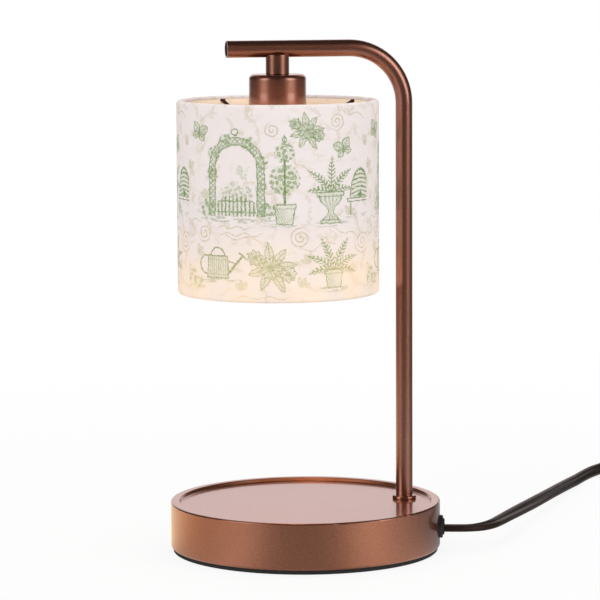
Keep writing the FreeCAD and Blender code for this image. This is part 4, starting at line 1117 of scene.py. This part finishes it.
def floor():
    """White table: the camera sees it almost white with a faint shadow, and mirrored rays see a
    floor whose brightness goes with the angle round the lamp."""
    def build(bm):
        edge = FLOOR_SIZE / 2
        corners = [(-edge, -edge), (edge, -edge), (edge, edge), (-edge, edge)]
        bm.faces.new([bm.verts.new((x, y, FLOOR_HEIGHT)) for x, y in corners])
    piece = piece_from("floor", build)
    look = Look("floor", (0.90, 0.90, 0.90), Roughness=0.9)
    tree = look.tree
    eye, gloss = kinds_of_ray(tree)
    x, y = look.axes()[:2]
    reach = (x * x + y * y).root()
    side = facing(x, y)
    near = reach.ramp(400.0, 900.0, 1.0, 0.0)
    # Near the lamp it is dim in front, bright at the left and dim again at the right
    round_lamp = abs(side).ramp(0.2, 0.8, 0.37, 0.66) + side.ramp(-2.0, -1.2, 0.42, 0.0)
    round_lamp = round_lamp - side.ramp(0.9, 1.9, 0.0, 0.40) + side.ramp(2.1, 2.7, 0.0, 0.30)
    behind = abs(side).ramp(2.3, 2.8, 0.14, 0.85)
    shown = eye.max(gloss * (near * round_lamp + (near * -1.0 + 1.0) * behind))
    glow = tree.nodes.new("ShaderNodeEmission")
    on_left = side.ramp(-1.9, -0.5, 1.0, 0.0) * gloss * near
    glow_tinted = look.mix(on_left, (1.0, 1.0, 1.0), (1.0, 0.78, 0.52))
    feed(tree, glow.inputs["Color"], glow_tinted)
    feed(tree, glow.inputs["Strength"], shown)
    join = tree.nodes.new("ShaderNodeMixShader")
    # The camera sees some shadow on the table near the lamp, and none far away
    feed(tree, join.inputs[0], (eye * reach.ramp(150.0, 900.0, 0.88, 1.0)).max(gloss))
    feed(tree, join.inputs[1], look.shader.outputs[0])
    feed(tree, join.inputs[2], glow.outputs[0])
    feed(tree, tree.nodes["Material Output"].inputs["Surface"], join.outputs[0])
    paint(piece, look.material)


def world():
    """White for what the camera sees; for reflections a dim room with a tall soft strip on each
    side and a white backdrop behind the lamp."""
    made = bpy.data.worlds.new("studio")
    made.use_nodes = True
    tree = made.node_tree
    eye, gloss = kinds_of_ray(tree)
    coordinates = tree.nodes.new("ShaderNodeTexCoord")
    split = tree.nodes.new("ShaderNodeSeparateXYZ")
    feed(tree, split.inputs[0], coordinates.outputs["Generated"])
    x, y, high = [Wire(tree, out) for out in split.outputs]
    turn = facing(x, y)
    side = abs(turn)
    strips = side.ramp(0.60, 0.85) * side.ramp(1.10, 1.40, 1.0, 0.0) * high.ramp(0.50, 0.75, 1.0, 0.0)
    backdrop = side.ramp(2.5, 2.8) * high.ramp(0.45, 0.65, 1.0, 0.0)
    room = (strips * turn.ramp(-0.5, 0.5, 2.0, 2.6)).max(backdrop * 0.94)
    room = room.max(high.ramp(0.15, 0.6, 0.06, 0.04))
    background = tree.nodes["Background"]
    tint = Nodes(tree).mix(gloss * backdrop, (1.0, 1.0, 1.0), (1.0, 0.89, 0.895))
    feed(tree, background.inputs["Color"], tint)
    feed(tree, background.inputs["Strength"], eye.max(gloss * room + (gloss * -1.0 + 1.0) * 0.70))
    bpy.context.scene.world = made


def soft_light(name, at, towards, size, power, color=(1, 1, 1), shiny=False):
    """Rectangular lamp; only a shiny one shows in reflections."""
    data = bpy.data.lights.new(name, "AREA")
    data.shape = "RECTANGLE"
    data.size, data.size_y = size
    data.energy = power
    data.color = color
    piece = bpy.data.objects.new(name, data)
    bpy.context.collection.objects.link(piece)
    piece.location = at
    piece.rotation_euler = (Vector(towards) - Vector(at)).to_track_quat("-Z", "Y").to_euler()
    piece.visible_glossy = shiny


def lights():
    """Three soft studio lamps, and the bulb's own light on the base."""
    soft_light("key", (-1.1, -1.3, 1.2), MIDDLE, (0.7, 1.1), 8.0)
    soft_light("fill", (1.3, -0.9, 0.8), MIDDLE, (0.6, 1.2), 4.6)
    soft_light("top", (0.1, 0.3, 1.7), MIDDLE, (1.2, 1.2), 4.6)
    soft_light("bulb_light", (LAMP_X, 0, BULB_FRONT - 4 * MM), (LAMP_X, 0, 0), (0.03, 0.03), 0.035,
               (1.0, 0.66, 0.38), shiny=True)


def main():
    bpy.context.scene.view_settings.view_transform = "Standard"
    make_materials()
    paint_frame()
    camera()
    lay_cords()
    shade_cloth()
    floor()
    world()
    lights()


main()


def corners(box):
    return [list(corner) for corner in box]
